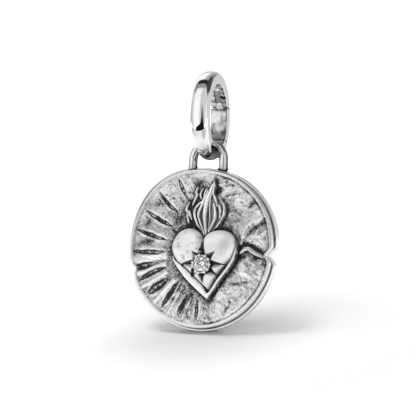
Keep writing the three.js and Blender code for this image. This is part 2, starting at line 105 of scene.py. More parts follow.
def smoothLine(pairs, count):
    # the cubic through the points in which each point's slope follows the chord of its neighbours
    points = np.array(pairs, float)
    last = len(points) - 1
    place = np.linspace(0, last, count)
    index = np.minimum(place.astype(int), last - 1)
    t = (place - index)[:, None]
    before, start, end, after = (points[np.clip(index + k, 0, last)] for k in (-1, 0, 1, 2))
    return 0.5 * (2 * start + (end - before) * t + (2 * before - 5 * start + 4 * end - after) * t ** 2
                  + (3 * start - before - 3 * end + after) * t ** 3)


def nearLine(u, w, line):
    # for each point: how far the line is, and how far along it, from 0 to 1, the nearest place lies
    best, share = np.full(np.shape(u), 1e9), np.zeros(np.shape(u))
    for i, (start, run) in enumerate(zip(line, line[1:] - line[:-1])):
        t = np.clip(((u - start[0]) * run[0] + (w - start[1]) * run[1]) / (run @ run), 0, 1)
        gap = np.hypot(u - start[0] - t * run[0], w - start[1] - t * run[1])
        share = np.where(gap < best, (i + t) / (len(line) - 1), share)
        best = np.minimum(gap, best)
    return best, share


def wedges(points, corners):
    # six times the volume between these triangles and the origin
    a, b, c = (points[corners[:, i]] for i in range(3))
    return np.einsum("ij,ij->", a, np.cross(b, c))


def stack(parts, bored=False):
    # A closed skin of loops of points, given as parts: one loop or several, with their values. Each loop is
    # joined to the next by quads, and the end loops either to each other, as round a bore, or by fans to
    # their middles. The skin is turned inside out if its volume comes out negative.
    points = np.concatenate([loops.reshape(-1, 3) for loops, value in parts])
    values = np.concatenate([np.broadcast_to(value, loops.shape[:-1]).reshape(-1) for loops, value in parts])
    total, around = len(points), parts[0][0].shape[-2]
    j = np.arange(around)
    following = (j + 1) % around
    low = np.arange(0, total if bored else total - around, around)[:, None]
    high = (low + around) % total
    quads = np.stack([low + j, low + following, high + following, high + j], -1).reshape(-1, 4)
    fans = np.zeros((0, 3), int)
    if not bored:
        last = total - around
        points = np.concatenate([points, [points[:around].mean(0), points[last:].mean(0)]])
        values = np.concatenate([values, [values[:around].mean(), values[last:].mean()]])
        fans = np.concatenate([np.stack([np.full(around, total), following, j], -1),
                               np.stack([np.full(around, total + 1), last + j, last + following], -1)])
    if wedges(points, quads) + wedges(points, quads[:, [0, 2, 3]]) + wedges(points, fans) < 0:
        quads, fans = quads[:, ::-1], fans[:, ::-1]
    return points, quads, fans, values


def newObject(name, data):
    thing = bpy.data.objects.new(name, data)
    bpy.context.scene.collection.objects.link(thing)
    return thing


def newMesh(name, points, faces, attribute, values):
    # a mesh with one value of its own at each point
    mesh = bpy.data.meshes.new(name)
    mesh.from_pydata(points.tolist(), [], faces)
    level = mesh.attributes.new(attribute, "FLOAT", "POINT")
    level.data.foreach_set("value", values.astype(np.float32))
    return mesh


def addPiece(mesh, body, material, stands):
    # the mesh as a piece of the same name, which rides on its body in a node's place
    piece = newObject(mesh.name, mesh)
    mesh.materials.append(material)
    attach(piece, body)
    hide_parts(stands)
    print(mesh.name, len(mesh.polygons), "faces")


def makePiece(name, skins, body, material, stands, sharp):
    # closed skins in one mesh, with the patina as each point's value, and edges sharp from this angle on
    faces, offset = [], 0
    for points, quads, fans, values in skins:
        faces += (quads + offset).tolist() + (fans + offset).tolist()
        offset += len(points)
    mesh = newMesh(name, np.concatenate([skin[0] for skin in skins]), faces,
                   "patina", np.concatenate([skin[3] for skin in skins]))
    mesh.shade_smooth()
    mesh.set_sharp_from_angle(angle=sharp * deg)
    addPiece(mesh, body, material, stands)


# Materials

def linear(hexColour):
    # sRGB hex to linear: below 0.04045 over 12.92, above it ((v + 0.055) / 1.055)^2.4
    channels = [int(hexColour[i:i + 2], 16) / 255 for i in (1, 3, 5)]
    return [v / 12.92 if v <= 0.04045 else ((v + 0.055) / 1.055) ** 2.4 for v in channels] + [1]


def addNode(tree, kind, inputs=None, settings=None, output=0):
    # one node: its inputs are values or other nodes' outputs, and one of its own outputs comes back
    node = tree.nodes.new(kind)
    for field, value in (settings or {}).items():
        setattr(node, field, value)
    for socket, value in (inputs or {}).items():
        if isinstance(value, bpy.types.NodeSocket):
            tree.links.new(value, node.inputs[socket])
        else:
            node.inputs[socket].default_value = value
    return node.outputs[output]


def fillTree(owner, output, build, *look):
    # gives a material or the world the shader that build makes in its node tree
    owner.use_nodes = True
    tree = owner.node_tree
    tree.nodes.clear()
    tree.links.new(build(tree, *look), tree.nodes.new(output).inputs[0])


def newMaterial(name, build, *look):
    material = bpy.data.materials.new(name)
    fillTree(material, "ShaderNodeOutputMaterial", build, *look)
    return material


def objectPlace(tree):
    return addNode(tree, "ShaderNodeTexCoord", output="Object")


def noise(tree, size, detail, roughness=0.5, distortion=0.0):
    # noise of about this size in millimetres
    return addNode(tree, "ShaderNodeTexNoise", {
        "Vector": objectPlace(tree), "Scale": 1 / (size * mm), "Detail": detail, "Roughness": roughness,
        "Distortion": distortion})


def compute(tree, operation, *values):
    return addNode(tree, "ShaderNodeMath", dict(enumerate(values)), {"operation": operation})


def mapped(tree, value, low, high, fromLow=0.0, fromHigh=1.0, kind="LINEAR"):
    # carries the value from one range over to low and high
    return addNode(tree, "ShaderNodeMapRange", {
        "Value": value, "From Min": fromLow, "From Max": fromHigh, "To Min": low, "To Max": high},
        {"interpolation_type": kind})


def pointValue(tree, name):
    return addNode(tree, "ShaderNodeAttribute", settings={"attribute_name": name}, output="Fac")


def stainedSilver(tree, look, stain, stainRoughness, metal, height, strength, distance):
    # bright metal where the stain is 0, black where it is 1, and a fine relief over both
    colour = addNode(tree, "ShaderNodeMix", {
        "Factor": stain, "A": linear(look["bright"]), "B": linear(look["black"])},
        {"data_type": "RGBA"}, "Result")
    relief = addNode(tree, "ShaderNodeBump", {
        "Strength": strength, "Distance": distance * mm, "Height": height})
    return addNode(tree, "ShaderNodeBsdfPrincipled", {
        "Base Color": colour, "Roughness": mapped(tree, stain, look["roughness"], stainRoughness),
        "Metallic": metal, "Normal": relief})


def castSilver(tree, look):
    # Sterling silver, cast, blackened with sulphide and wiped: bright and soft on what stands out, near
    # black and dull in what lies deep. The patina value of each point says how deep it lies.
    # Wiping leaves grains of black about 0.2 mm across, coarser than the real ones so that they show.
    depth = pointValue(tree, "patina")
    depth = compute(tree, "MULTIPLY_ADD", noise(tree, look["grain"], 4, 0.65), look["grainPull"], depth)
    depth = compute(tree, "MULTIPLY_ADD", noise(tree, 1.3, 3), look["cloudPull"], depth)
    pulled = (look["grainPull"] + look["cloudPull"]) / 2
    stain = mapped(tree, depth, 0.0, 1.0, pulled, pulled + 1, "SMOOTHSTEP")
    metal = mapped(tree, stain, look["metal"], 0.55)
    return stainedSilver(tree, look, stain, 0.55, metal, noise(tree, 0.16, 3), look["pits"], 0.03)


def polishedSilver(tree, look):
    # Sterling silver, mirror polished: a hard bright mirror with hairlines from wear; the patina stays
    # only where a mop can't reach, in the joints and the bore.
    pull = compute(tree, "MULTIPLY_ADD", noise(tree, 0.5, 5, 0.6), 0.9, 0.55)
    stain = compute(tree, "MULTIPLY", pointValue(tree, "patina"), pull)
    return stainedSilver(tree, look, stain, 0.5, 1.0, noise(tree, 0.3, 6, 0.5, 2.5), 0.05, 0.004)


def rolledSteel(tree):
    # Spring steel strip, rolled and blued: grey, with fine lines along the strip, 0.05 mm apart
    along, across = 1 / (0.8 * mm), 1 / (0.05 * mm)
    stretched = addNode(tree, "ShaderNodeMapping", {
        "Vector": objectPlace(tree), "Scale": (across, along, along)})
    lines = addNode(tree, "ShaderNodeTexNoise", {"Vector": stretched, "Scale": 1.0, "Detail": 3})
    return addNode(tree, "ShaderNodeBsdfPrincipled", {
        "Base Color": linear("#a8a6a2"), "Metallic": 1.0, "Roughness": mapped(tree, lines, 0.25, 0.45)})


def polishedZirconia(tree):
    # Cubic zirconia, faceted and polished: colourless, IOR 2.15, so that most light turns back inside it
    return addNode(tree, "ShaderNodeBsdfPrincipled", {
        "Base Color": linear("#fffefc"), "IOR": 2.15, "Transmission Weight": 1.0,
        "Roughness": mapped(tree, noise(tree, 0.4, 2), 0.0, 0.03)})


faceSilver = newMaterial("silverCastOxidised", castSilver, {
    "bright": "#f0efee", "black": "#27282f", "roughness": 0.25, "grain": 0.17, "grainPull": 1.75,
    "cloudPull": 0.15, "pits": 0.8, "metal": 1.0})
satinSilver = newMaterial("silverCastSatin", castSilver, {
    "bright": "#fbfaf9", "black": "#21222a", "roughness": 0.43, "grain": 0.3, "grainPull": 0.16,
    "cloudPull": 0.1, "pits": 0.12, "metal": 0.6})
burnishedSilver = newMaterial("silverCastBurnished", castSilver, {
    "bright": "#fbfaf9", "black": "#21222a", "roughness": 0.27, "grain": 0.3, "grainPull": 0.16,
    "cloudPull": 0.1, "pits": 0.15, "metal": 1.0})
loopSilver = newMaterial("silverWireBurnished", polishedSilver, {
    "bright": "#f2f0ed", "black": "#2d2825", "roughness": 0.11})
ringSilver = newMaterial("silverMirrorPolished", polishedSilver, {
    "bright": "#f3f4f6", "black": "#2a2b31", "roughness": 0.035})
springSteel = newMaterial("springSteelRolled", rolledSteel)
clearStone = newMaterial("zirconiaPolished", polishedZirconia)
print("materials made")

# Medallion, drawn flat: u to the right, w up, h out of the face, all in millimetres

medallion = {
    "frontToMiddle": 1.0, "middleZ": -20.552, "faceBack": -0.8, "backFrom": -0.85, "backTo": -2.0,
    "radius": {"rim": 10.0, "face": 9.73},
    # swells and flats of the two outlines: how far the edge stands out, the bearing, the spread in degrees
    "swells": {"rim": [[0.8, 133, 36], [0.3, 200, 30], [0.16, 270, 35], [-0.26, 345, 38], [-0.1, 90, 14]],
               "face": [[0.45, 125, 28], [0.06, 270, 35], [-0.26, 345, 38]]},
    "notches": [[196.5, 1.15, 1.15], [-4.3, 1.05, 1.1]],  # bearing, depth, half the mouth's width
    "hidden": 1.2, "around": 720,  # the stain of what no cloth can reach, and the points round each loop
}
hidden = medallion["hidden"]


def onMedallion(u, w, h):
    # u runs along +X, w along +Z and h along -Y from the face's field
    u, w, h = np.broadcast_arrays(u, w, h)
    return np.stack([u, -medallion["frontToMiddle"] - h, medallion["middleZ"] + w], -1) * mm


def swollen(outline, angle):
    # a circle with swells and flats, each a bell curve of the bearing
    return medallion["radius"][outline] + sum(height * bump(wrapped(angle - bearing), 0, spread)
                                              for height, bearing, spread in medallion["swells"][outline])


def notched(outline, angle):
    # The lesser of the outline and each notch's V, with the corner between them rounded. The V's line passes
    # through tip radius + t * depth at t * half mouth to the side, eased over its tip.
    radius = swollen(outline, angle)
    line = radius + 3
    for place, depth, halfMouth in medallion["notches"]:
        tip = swollen("rim", place) - depth
        offset = np.minimum(np.abs(wrapped(angle - place)), 40)
        slope = np.tan(offset * deg)
        rest = halfMouth - depth * slope
        t = np.where(rest > 0.02, tip * slope / np.maximum(rest, 0.02), 99)
        t = np.sqrt(t ** 2 + 0.03) - 0.05
        line = np.minimum(line, (tip + t * depth) / np.cos(offset * deg))
    return 0.5 * (radius + line - np.sqrt((radius - line) ** 2 + 0.05))


motifShift = np.array([0.15, 0.05])


def drawn(pairs, count):
    # a smooth line through points drawn on the motif, brought to its place on the medallion
    return smoothLine(pairs, count) + motifShift


heart = {
    "middle": [0.9, -1.25], "stone": [0.95, -2.0], "height": 1.75, "edge": 0.35, "gap": 0.07,
    # each outline down the left side from the cleft to the tip, and down the right side
    "dome": [[[0.42, 1.2], [-0.45, 2.12], [-1.7, 2.38], [-3.05, 1.75], [-3.82, 0.1], [-3.18, -1.48],
              [-1.95, -2.35], [-0.3, -3.75], [1.4, -5.15]],
             [[0.42, 1.2], [1.45, 2.0], [2.96, 2.2], [4.2, 1.7], [4.72, 0.5], [4.3, -1.05],
              [3.38, -2.05], [2.28, -3.5], [1.4, -5.15]]],
    "frame": [[[0.42, 0.9], [-1.7, 2.0], [-3.4, 0.9], [-3.62, -1.35], [-2.25, -3.4], [-0.4, -5.1],
               [1.25, -6.35]],
              [[0.42, 0.9], [2.9, 1.8], [4.5, 1.2], [4.9, -0.6], [3.97, -2.5], [2.7, -4.15],
               [1.25, -6.35]]],
    "frameHeight": 0.75, "rightWall": 0.38, "crease": [[0.57, 1.25], [0.72, -0.5]],
    # angle, length and blackness of each arm of the star cut round the stone
    "star": [[0, 3.0, 1], [43, 2.4, 0.7], [91, 3.6, 1.25], [130, 2.1, 0.75], [181, 3.5, 1], [219, 2.8, 1.3],
             [270, 2.5, 1.4], [320, 2.5, 1.2]],
    "armWidth": 1.2, "armDepth": 0.6, "colletRadius": 1.2, "colletTop": 1.9,
}
heartMiddle = np.array(heart["middle"])


def heartOutline(kind):
    # down one side and back up the other, and its distance from the middle as a table over the bearing
    down, up = (drawn(pairs, 251) for pairs in heart[kind])
    outline = np.concatenate([down[:-1], up[:0:-1]])
    arms = outline - heartMiddle
    bearing = np.arctan2(arms[:, 1], arms[:, 0])
    order = np.argsort(bearing)
    return outline, (bearing[order], np.hypot(arms[:, 0], arms[:, 1])[order])


domeOutline, domeTable = heartOutline("dome")
frameTable = heartOutline("frame")[1]


def heartReach(bearing):
    # how far the dome and the frame reach on this bearing
    return [np.interp(bearing, *table, period=2 * math.pi) for table in (domeTable, frameTable)]


def heartPlace(u, w):
    # bearing and distance from the heart's middle, with the dome's and the frame's reach on that bearing
    bearing = np.arctan2(w - heartMiddle[1], u - heartMiddle[0])
    return bearing, np.hypot(w - heartMiddle[1], u - heartMiddle[0]), *heartReach(bearing)


def starCuts(u, w):
    # how deep the star's V cuts go, and how dark they are: patina in each cut, and over it a painted shade,
    # darker on the cut's face that looks down and lighter on the one that looks up, as under light from above
    cut, stain = np.zeros(np.shape(u)), np.zeros(np.shape(u))
    for turn, length, black in heart["star"]:
        along, side = measured(u, w, heart["stone"], turn)
        taper = np.clip((length - along) / (length - heart["colletRadius"]), 0, 1.3) * (along > 0)
        halfWidth = heart["armWidth"] / 2 * taper + 1e-3
        depth = heart["armDepth"] * taper ** 0.6 * np.clip(1 - np.abs(side) / halfWidth, 0, 1)
        # painted shade: +1 on a face that looks up, which is left lighter, -1 on one that looks down, made
        # darker
        litFromAbove = -np.sign(side) * math.cos(turn * deg)
        stain = np.where(depth > cut, easedStep(0, 0.06, depth) * black * (0.5 - 0.42 * litFromAbove), stain)
        cut = np.maximum(cut, depth)
    return cut, stain


def hammerMarks(u, w):
    # short crescents, most of them level and on the left lobe: the places where a stretched noise changes
    # its sign, kept in patches only
    marks = bump(lumps(u + 0.3 * w, w * 2.1, 0.95, 42), 0, 0.26)
    marks = marks * easedStep(-0.25, 0.35, lumps(u, w * 1.2, 0.6, 43)) * (0.4 + 0.6 * easedStep(1.6, 0.2, u))
    return marks * easedStep(-2.1, -1.4, w)


def domeRise(u, w, share):
    # edge + (height - edge) * (1 - share^3.4)^0.56, less a crease under the cleft and the star's V cuts, with
    # shallow hammer marks
    rise = heart["edge"] + (heart["height"] - heart["edge"]) * np.maximum(1 - share ** 3.4, 0) ** 0.56
    gap, along = nearLine(u, w, np.array(heart["crease"]))
    rise = rise - 0.42 * (1 - along) ** 0.8 * bump(gap, 0, 0.3) - starCuts(u, w)[0]
    uneven = 0.024 * lumps(u, w * 1.5, 0.55, 41) - 0.045 * hammerMarks(u, w)
    return rise + uneven * np.clip(1.15 - share, 0, 1)


def frameInside(bearing, domeReach, frameReach):
    # the inner outline: the gap's width from the dome, but on the right no more than the wall's from outside
    right = plateau(-95, -70, 60, 100, bearing / deg)
    inner = domeReach + heart["gap"]
    return np.maximum(inner, inner + (frameReach - heart["rightWall"] - inner) * right)


def frameRise(inner, outer, distance):
    # a rounded wall between the two outlines: height * (1 - |place across|^5)^0.5
    width = np.maximum(outer - inner, 1e-3)
    across = np.clip(2 * (distance - inner) / width - 1, -1, 1)
    return heart["frameHeight"] * np.clip(width / 0.3, 0, 1) ** 0.5 * (1 - np.abs(across) ** 5) ** 0.5


# Flame: each ridge as points, width and share of the height
flame = {
    "left": [[1.42, 8.6], [1.05, 7.9], [0.38, 7.3], [0.15, 6.75], [0, 5.9], [-0.7, 5.3], [-1.1, 4.65],
             [-1.2, 4.15], [-1, 3.5], [-0.6, 2.75], [-0.1, 2.2], [0.42, 1.4]],
    "right": [[1.42, 8.6], [1.65, 7.75], [1.6, 6.75], [1.75, 6.3], [2.05, 6.5], [2.65, 5.85], [3.02, 5.4],
              [3.17, 4.75], [3.12, 4.05], [2.7, 3.3], [2.3, 2.6], [1.3, 2.05], [0.42, 1.4]],
    "sheet": 0.16, "height": 0.6, "bottom": 0.04, "rows": 300, "across": 110,
    "ridges": [
        [[[1.35, 8.45], [0.4, 7.23], [0.08, 5.89], [-0.67, 5.23], [-1.05, 4.3], [-0.49, 2.79], [0.45, 1.5]],
         0.4, 0.95],
        [[[0.69, 7.2], [0.35, 6.1], [-0.35, 4.59], [-0.43, 4.03], [-0.29, 3.41], [0.46, 1.7]], 0.32, 0.9],
        [[[1.3, 7.9], [0.98, 6.86], [0.6, 5.7], [0.42, 4.3], [0.45, 3.45], [0.65, 1.7]], 0.54, 1],
        [[[1.38, 8.2], [1.25, 7.2], [1.0, 5.9], [0.98, 4.7], [1.08, 3.6], [0.85, 2.1]], 0.18, 0.6],
        [[[1.5, 8.5], [1.55, 7.74], [1.49, 6.72], [1.81, 5.88], [2.02, 5.1]], 0.34, 0.9],
        [[[1.5, 5.6], [1.78, 4.54], [1.82, 3.94], [1.67, 3.33], [0.95, 1.9]], 0.38, 0.95],
        [[[2.2, 5.4], [2.47, 4.48], [2.4, 3.6]], 0.3, 0.8],
        [[[2.05, 6.45], [2.91, 5.41], [3.05, 4.6], [2.9, 3.8], [2.2, 2.64], [1.6, 2.1]], 0.4, 0.95],
    ],
}
flameEdge = np.concatenate([drawn(flame["left"], 90), drawn(flame["right"], 90)[::-1]])


def ridgeRise(u, w, pairs, width, height):
    # height * (1 - (distance over half the width)^8)^0.8, the width swelling along the line with
    # sin(pi t)^0.6
    gap, t = nearLine(u, w, drawn(pairs, 25))
    swell = 0.3 + 0.7 * np.sin(math.pi * t) ** 0.6
    return height * (0.4 + 0.6 * swell) * np.maximum(1 - (gap / (width / 2 * swell)) ** 8, 0) ** 0.8


def flameRise(u, w):
    # a thin sheet under the highest of the ridges
    rise = np.full(np.shape(u), flame["sheet"])
    for pairs, width, share in flame["ridges"]:
        rise = np.maximum(rise, flame["sheet"] * 0.6 + ridgeRise(u, w, pairs, width, share * flame["height"]))
    return rise


# Field of the face plate
field = {
    # rays: outer radius and angle, inner radius and angle, width, depth, sideways bow
    "rays": [
        [9.2, 112, 6.6, 109, 0.5, 0.26, 0.06], [9.35, 131, 5.5, 127, 0.52, 0.28, 0.16],
        [9.1, 149, 4.9, 146, 0.54, 0.28, 0.12], [9.2, 165.5, 4.9, 168, 0.54, 0.28, 0.1],
        [9.2, 183, 4.9, 185.5, 0.6, 0.3, 0.08], [9.6, 196, 6.6, 197.5, 0.85, 0.4, 0],
        [9.1, 206.5, 5.4, 207, 0.7, 0.3, -0.12], [9.0, 219.5, 5.8, 221.5, 1.1, 0.3, 0],
        [8.9, 236, 5.0, 235.5, 0.65, 0.3, 0], [8.85, 251.5, 6.0, 255, 0.56, 0.28, 0],
        [8.9, 268.5, 6.1, 269.5, 0.5, 0.22, 0],
    ],
    # swelling petals between the lower rays: outer radius and angle, inner radius and angle, width, height
    "petals": [
        [9.3, 189.5, 5.0, 190.5, 1.2, 0.16], [9.1, 201.5, 5.2, 203, 0.8, 0.18],
        [9.2, 212.5, 5.4, 213.5, 0.6, 0.16], [9.0, 228.5, 5.2, 229, 0.6, 0.16],
        [9.0, 243.5, 5.4, 244.5, 0.5, 0.16], [8.9, 257, 6.2, 260, 0.4, 0.16],
    ],
    # small tongues of flame and the lip of the fold: points, width, height
    "tongues": [
        [[[-0.85, 7.6], [-1.03, 6.94], [-0.9, 6.5], [-1.21, 5.82], [-1.46, 5.3]], 0.36, 0.36],
        [[[-0.06, 7.45], [-0.37, 6.88], [-0.39, 6.37], [-0.2, 5.95]], 0.3, 0.34],
        [[[-1.92, 5.7], [-2.18, 5.05], [-2.21, 4.75], [-1.9, 4.16], [-1.45, 3.65]], 0.38, 0.36],
        [[[-2.2, 4.2], [-2, 3.7], [-1.84, 3.0]], 0.32, 0.32],
        [[[-1.95, 4.7], [-1.7, 4.2], [-1.45, 3.4]], 0.26, 0.3],
        [[[5.0, -0.6], [6.15, 0.05], [7.2, -0.5], [8.4, -1.0]], 0.55, 0.3],
    ],
    # folds and cracks of the crumpled half: points, width, depth
    "folds": [
        [[[6.23, 5.0], [6.55, 5.5], [7.0, 5.68], [7.43, 5.43], [7.73, 5.0]], 0.5, 0.26],
        [[[5.8, 0.9], [6.1, 1.65], [6.7, 2.3], [7.5, 2.84], [8.28, 3.5], [8.5, 4.0]], 0.8, 0.3],
        [[[4.85, 0.16], [5.3, 0.37], [6.0, 0.78], [6.5, 0.56], [7.25, 0.04], [8.1, -0.16], [9.2, -0.36]],
         0.42, 0.34],
        [[[6.4, 0.5], [7.2, 0.25], [8.2, 0.1]], 0.6, 0.2],
        [[[3.96, -6.1], [4.2, -6.6], [3.8, -7.25], [3.6, -8.0]], 0.32, 0.18],
        [[[3.9, -4.15], [5.3, -4.2], [6.8, -3.9]], 0.5, 0.14],
        [[[2.2, 8.6], [3.3, 8.75], [4.5, 8.55]], 0.3, 0.16],
        [[[2.6, 7.7], [3.8, 7.85], [4.9, 7.6]], 0.35, 0.18],
        [[[3.0, 6.45], [4.0, 6.75], [4.9, 6.75]], 0.4, 0.2], [[[5.7, 7.1], [6.1, 6.9]], 0.35, 0.16],
    ],
    # hollows, with a depth below 0, then swells: middle, half length, half width, angle, height
    "forms": [
        [2.2, 7.25, 0.55, 0.4, 20, -0.34], [1.75, 8.3, 0.5, 0.4, 40, -0.2], [3.8, 4.9, 0.9, 0.9, 0, -0.16],
        [7.2, -1.0, 0.8, 0.4, -20, -0.22], [8.4, -1.9, 0.5, 0.4, 0, -0.2], [5.6, -0.95, 0.7, 0.35, 20, -0.2],
        [-7.2, 3.3, 0.5, 0.35, 60, -0.16], [-7.6, 0.8, 0.9, 0.35, 20, -0.2], [-6.1, 5.4, 0.5, 0.3, 30, -0.16],
        [-0.4, 8.2, 0.7, 0.35, 0, -0.2], [-2.1, 9.1, 0.6, 0.35, 20, -0.14], [-3.0, 3.5, 0.7, 0.7, 0, -0.14],
        [-2.5, -5.0, 0.5, 0.6, 0, -0.2], [-3.5, -6.3, 0.4, 0.4, 0, -0.18], [-1.8, -7.6, 0.5, 0.6, 0, -0.22],
        [-1.3, -6.2, 0.45, 0.6, 0, -0.2], [8.5, 3.0, 0.35, 0.7, 0, -0.12], [4.4, -2.6, 0.7, 0.7, 40, -0.14],
        [4.8, 3.1, 0.6, 0.8, 0, -0.12], [3.7, 2.5, 0.5, 0.9, 0, -0.14],
        [6.1, 2.3, 1.5, 0.5, 62, 0.16], [4.9, 5.75, 0.8, 0.4, 0, 0.14], [7.5, 4.1, 0.7, 0.5, 0, 0.12],
        [6.0, -2.8, 0.9, 0.6, 0, 0.12], [-8.7, 1.6, 0.4, 1.0, 0, 0.06], [-8.4, 3.6, 0.5, 1.2, -20, 0.08],
        [-6.4, 6.9, 0.9, 0.6, 45, 0.06], [0.0, 9.3, 1.6, 0.35, 0, 0.08], [5.2, -7.6, 1.4, 0.7, 30, 0.08],
    ],
    # rough patches: middle, spread
    "pitted": [[-3.4, 5.6, 3.2], [3.5, -7.0, 3.5], [-2.2, -6.8, 2.0]],
}


def castField(u, w):
    # The height of the field and how stained it is. The height is the sum of the drawn rays, petals, folds,
    # hollows and swells on a ground that is calm at the left and crumpled at the right; the stain is black's
    # share, from about 0 to 1, which follows the same forms.
    right = easedStep(0.4, 2.4, u + 0.12 * w)
    rise = layered(u, w, (0.03, 1.7, 11), (0.018, 0.7, 12))
    stain = 0.38 - 0.16 * right + layered(u, w, (0.13, 1.5, 31), (0.1, 0.55, 32), (0.13, 0.24, 33))
    stain = stain + 0.07 * bump(np.hypot(u - 5.5, w + 4.5), 0, 3) - 0.06 * bump(w, 8, 1.6)
    warpU, warpW = u + 0.5 * lumps(u, w, 1.6, 13), w + 0.5 * lumps(u, w, 1.6, 14)
    crumple = 0.12 * (1 - 2 * np.abs(lumps(warpU, warpW * 1.25, 1.5, 15)))
    crumple = crumple + 0.06 * lumps(warpU, warpW * 1.4, 0.65, 16)
    streaks = lumps(warpU * 0.8 - warpW * 0.25, warpW * 2.4 + warpU, 0.55, 17)
    rise = rise + right * (crumple + 0.035 * streaks)
    stain = stain + right * (0.16 * streaks - 0.65 * crumple)

    for outer, outerAngle, inner, innerAngle, width, depth, bow in field["rays"]:
        start, end = np.array([polar(outer, outerAngle), polar(inner, innerAngle)])
        runU, runW = end - start
        along, side = measured(u, w, start, math.atan2(runW, runU) / deg)
        along = along / math.hypot(runU, runW)
        t = np.clip(along, 0, 1)
        side = side + bow * 4 * t * (1 - t) + 0.05 * lumps(u, w, 0.5, 21)
        spindle = np.maximum(np.sin(math.pi * np.clip(0.04 + 0.92 * along, 0, 1)), 0) ** 0.6
        x = side / (width / 2 * spindle + 0.02)
        inside = (along > -0.04) & (along < 1.04)
        trough = np.clip(1.25 * (1 - np.abs(x) ** 3), 0, 1) * (0.4 + 0.6 * spindle)
        lip = spindle * (bump(x, 1.5, 0.45) + bump(x, -1.5, 0.45))
        rise = rise + inside * (0.06 * lip - depth * trough * (1 - 0.45 * bump(x, 0.1, 0.3)))
        # thin rays have a lighter line down the middle, wide ones a lighter, mottled floor
        middle = 0.8 * bump(x, 0.05, 0.52 if width > 0.55 else 0.44) * (1 + 0.7 * lumps(u, w, 0.3, 24))
        stain = stain + inside * (trough * (1 - middle) - 0.25 * lip)
    for outer, outerAngle, inner, innerAngle, width, height in field["petals"]:
        gap = nearLine(u, w, np.array([polar(outer, outerAngle), polar(inner, innerAngle)]))[0]
        petal = np.maximum(1 - (gap / (width / 2)) ** 2, 0) ** 0.8
        rise = rise + height * petal
        stain = stain - 0.4 * petal
    for pairs, width, depth in field["folds"]:
        gap, t = nearLine(u, w, smoothLine(pairs, 19))
        swell = 0.35 + 0.65 * np.sin(math.pi * t) ** 0.7
        fold = depth * swell * bump(gap + 0.08 * lumps(u, w, 0.35, 22), 0, width / 2 * swell)
        rise = rise - fold
        stain = stain + 2.6 * fold
    ragged = 1 + layered(u, w, (0.45, 0.45, 18), (0.25, 0.2, 23))
    for middleU, middleW, halfLength, halfWidth, turn, height in field["forms"]:
        along, side = measured(u, w, (middleU, middleW), turn)
        form = height * np.exp(-((along / halfLength) ** 2 + (side / halfWidth) ** 2) * ragged)
        rise = rise + form
        stain = stain - 2.3 * form
    rough = sum(bump(np.hypot(u - middleU, w - middleW), 0, spread)
                for middleU, middleW, spread in field["pitted"])
    pits = easedStep(0.25, 0.7, lumps(u, w, 0.17, 19)) * easedStep(-0.2, 0.4, lumps(u, w, 0.6, 20))
    pits = pits * (0.35 + 0.65 * np.clip(rough, 0, 1))
    rise = rise - 0.08 * pits
    stain = stain + 0.5 * pits
    for pairs, width, height in field["tongues"]:
        tongue = ridgeRise(u, w, pairs, width, height)
        beside = nearLine(u, w, drawn(pairs, 19))[0]
        stain = np.where(tongue > 0.05, 0.5 - 1.5 * tongue, stain + 0.5 * bump(beside, 0, width * 1.1))
        rise = np.maximum(rise, tongue - 0.02)

    # the ground sinks and darkens round the heart and the flame, less so on the heart's right
    bearing, distance, domeReach, frameReach = heartPlace(u, w)
    beside = np.maximum(distance - np.maximum(domeReach + 0.1, frameReach), 0)
    flameGap = nearLine(u, w, flameEdge[::6])[0]
    rise = rise - 0.24 * bump(beside, 0, 0.55)
    shade = 0.1 * bump(beside, 0, 0.4) + 0.17 * bump(beside, 0, 1.4) + 0.24 * bump(flameGap, 0, 0.4)
    shade = shade * (1 - 0.5 * easedStep(0.3, 0.9, np.cos(bearing)))
    stain = stain + shade * (1 + layered(u, w, (0.6, 0.32, 25), (0.4, 0.16, 26)))
    # it evens out towards the rim, which is bright, with a dark line within it on the right
    angle = np.arctan2(w, u) / deg
    edge = notched("face", angle) - np.hypot(u, w)
    calm = easedStep(0.1, 0.9, edge)
    rise = rise * (0.15 + 0.85 * calm) + 0.05 * bump(edge, 0.16, 0.16) - 0.06 * bump(edge, 0.5, 0.14)
    darkLine = (0.12 + 0.5 * plateau(-95, -75, 70, 95, angle)) * bump(edge, 0.5, 0.13)
    stain = stain * (0.35 + 0.65 * calm) - 0.14 * bump(edge, 0, 0.7) + darkLine
    leftRim = bump(wrapped(angle - 185), 0, 50)
    return rise, stain + 0.34 * leftRim * bump(edge, 0.1, 1.1)


grid = {"step": 0.04, "reach": 10.6}
ticks = np.arange(-grid["reach"], grid["reach"], grid["step"])
gridU, gridW = np.meshgrid(ticks, ticks)


def softened(table, size):
    # the table blurred by a bell curve of this size in millimetres, by way of its waves
    across = np.fft.rfftfreq(table.shape[1], grid["step"])
    down = np.fft.fftfreq(table.shape[0], grid["step"])
    keep = np.exp(-2 * (math.pi * size) ** 2 * (across[None, :] ** 2 + down[:, None] ** 2))
    return np.fft.irfft2(np.fft.rfft2(table) * keep, s=table.shape)


def sampled(table, u, w):
    # the table's value at any point, weighed between its four nearest entries
    column = np.clip((u + grid["reach"]) / grid["step"], 0, table.shape[1] - 1.001)
    row = np.clip((w + grid["reach"]) / grid["step"], 0, table.shape[0] - 1.001)
    left, low = column.astype(int), row.astype(int)
    x, y = column - left, row - low
    return ((table[low, left] * (1 - x) + table[low, left + 1] * x) * (1 - y)
            + (table[low + 1, left] * (1 - x) + table[low + 1, left + 1] * x) * y)


def insideOutline(u, w, outline):
    # a point is inside when a line from it to the right crosses the outline an odd number of times
    crossings = np.zeros(np.shape(u), int)
    for (u0, w0), (u1, w1) in zip(outline, np.roll(outline, -1, 0)):
        if w0 != w1:
            between = (w0 > w) != (w1 > w)
            crossings += between & (u < u0 + (w - w0) * (u1 - u0) / (w1 - w0))
    return crossings % 2 == 1


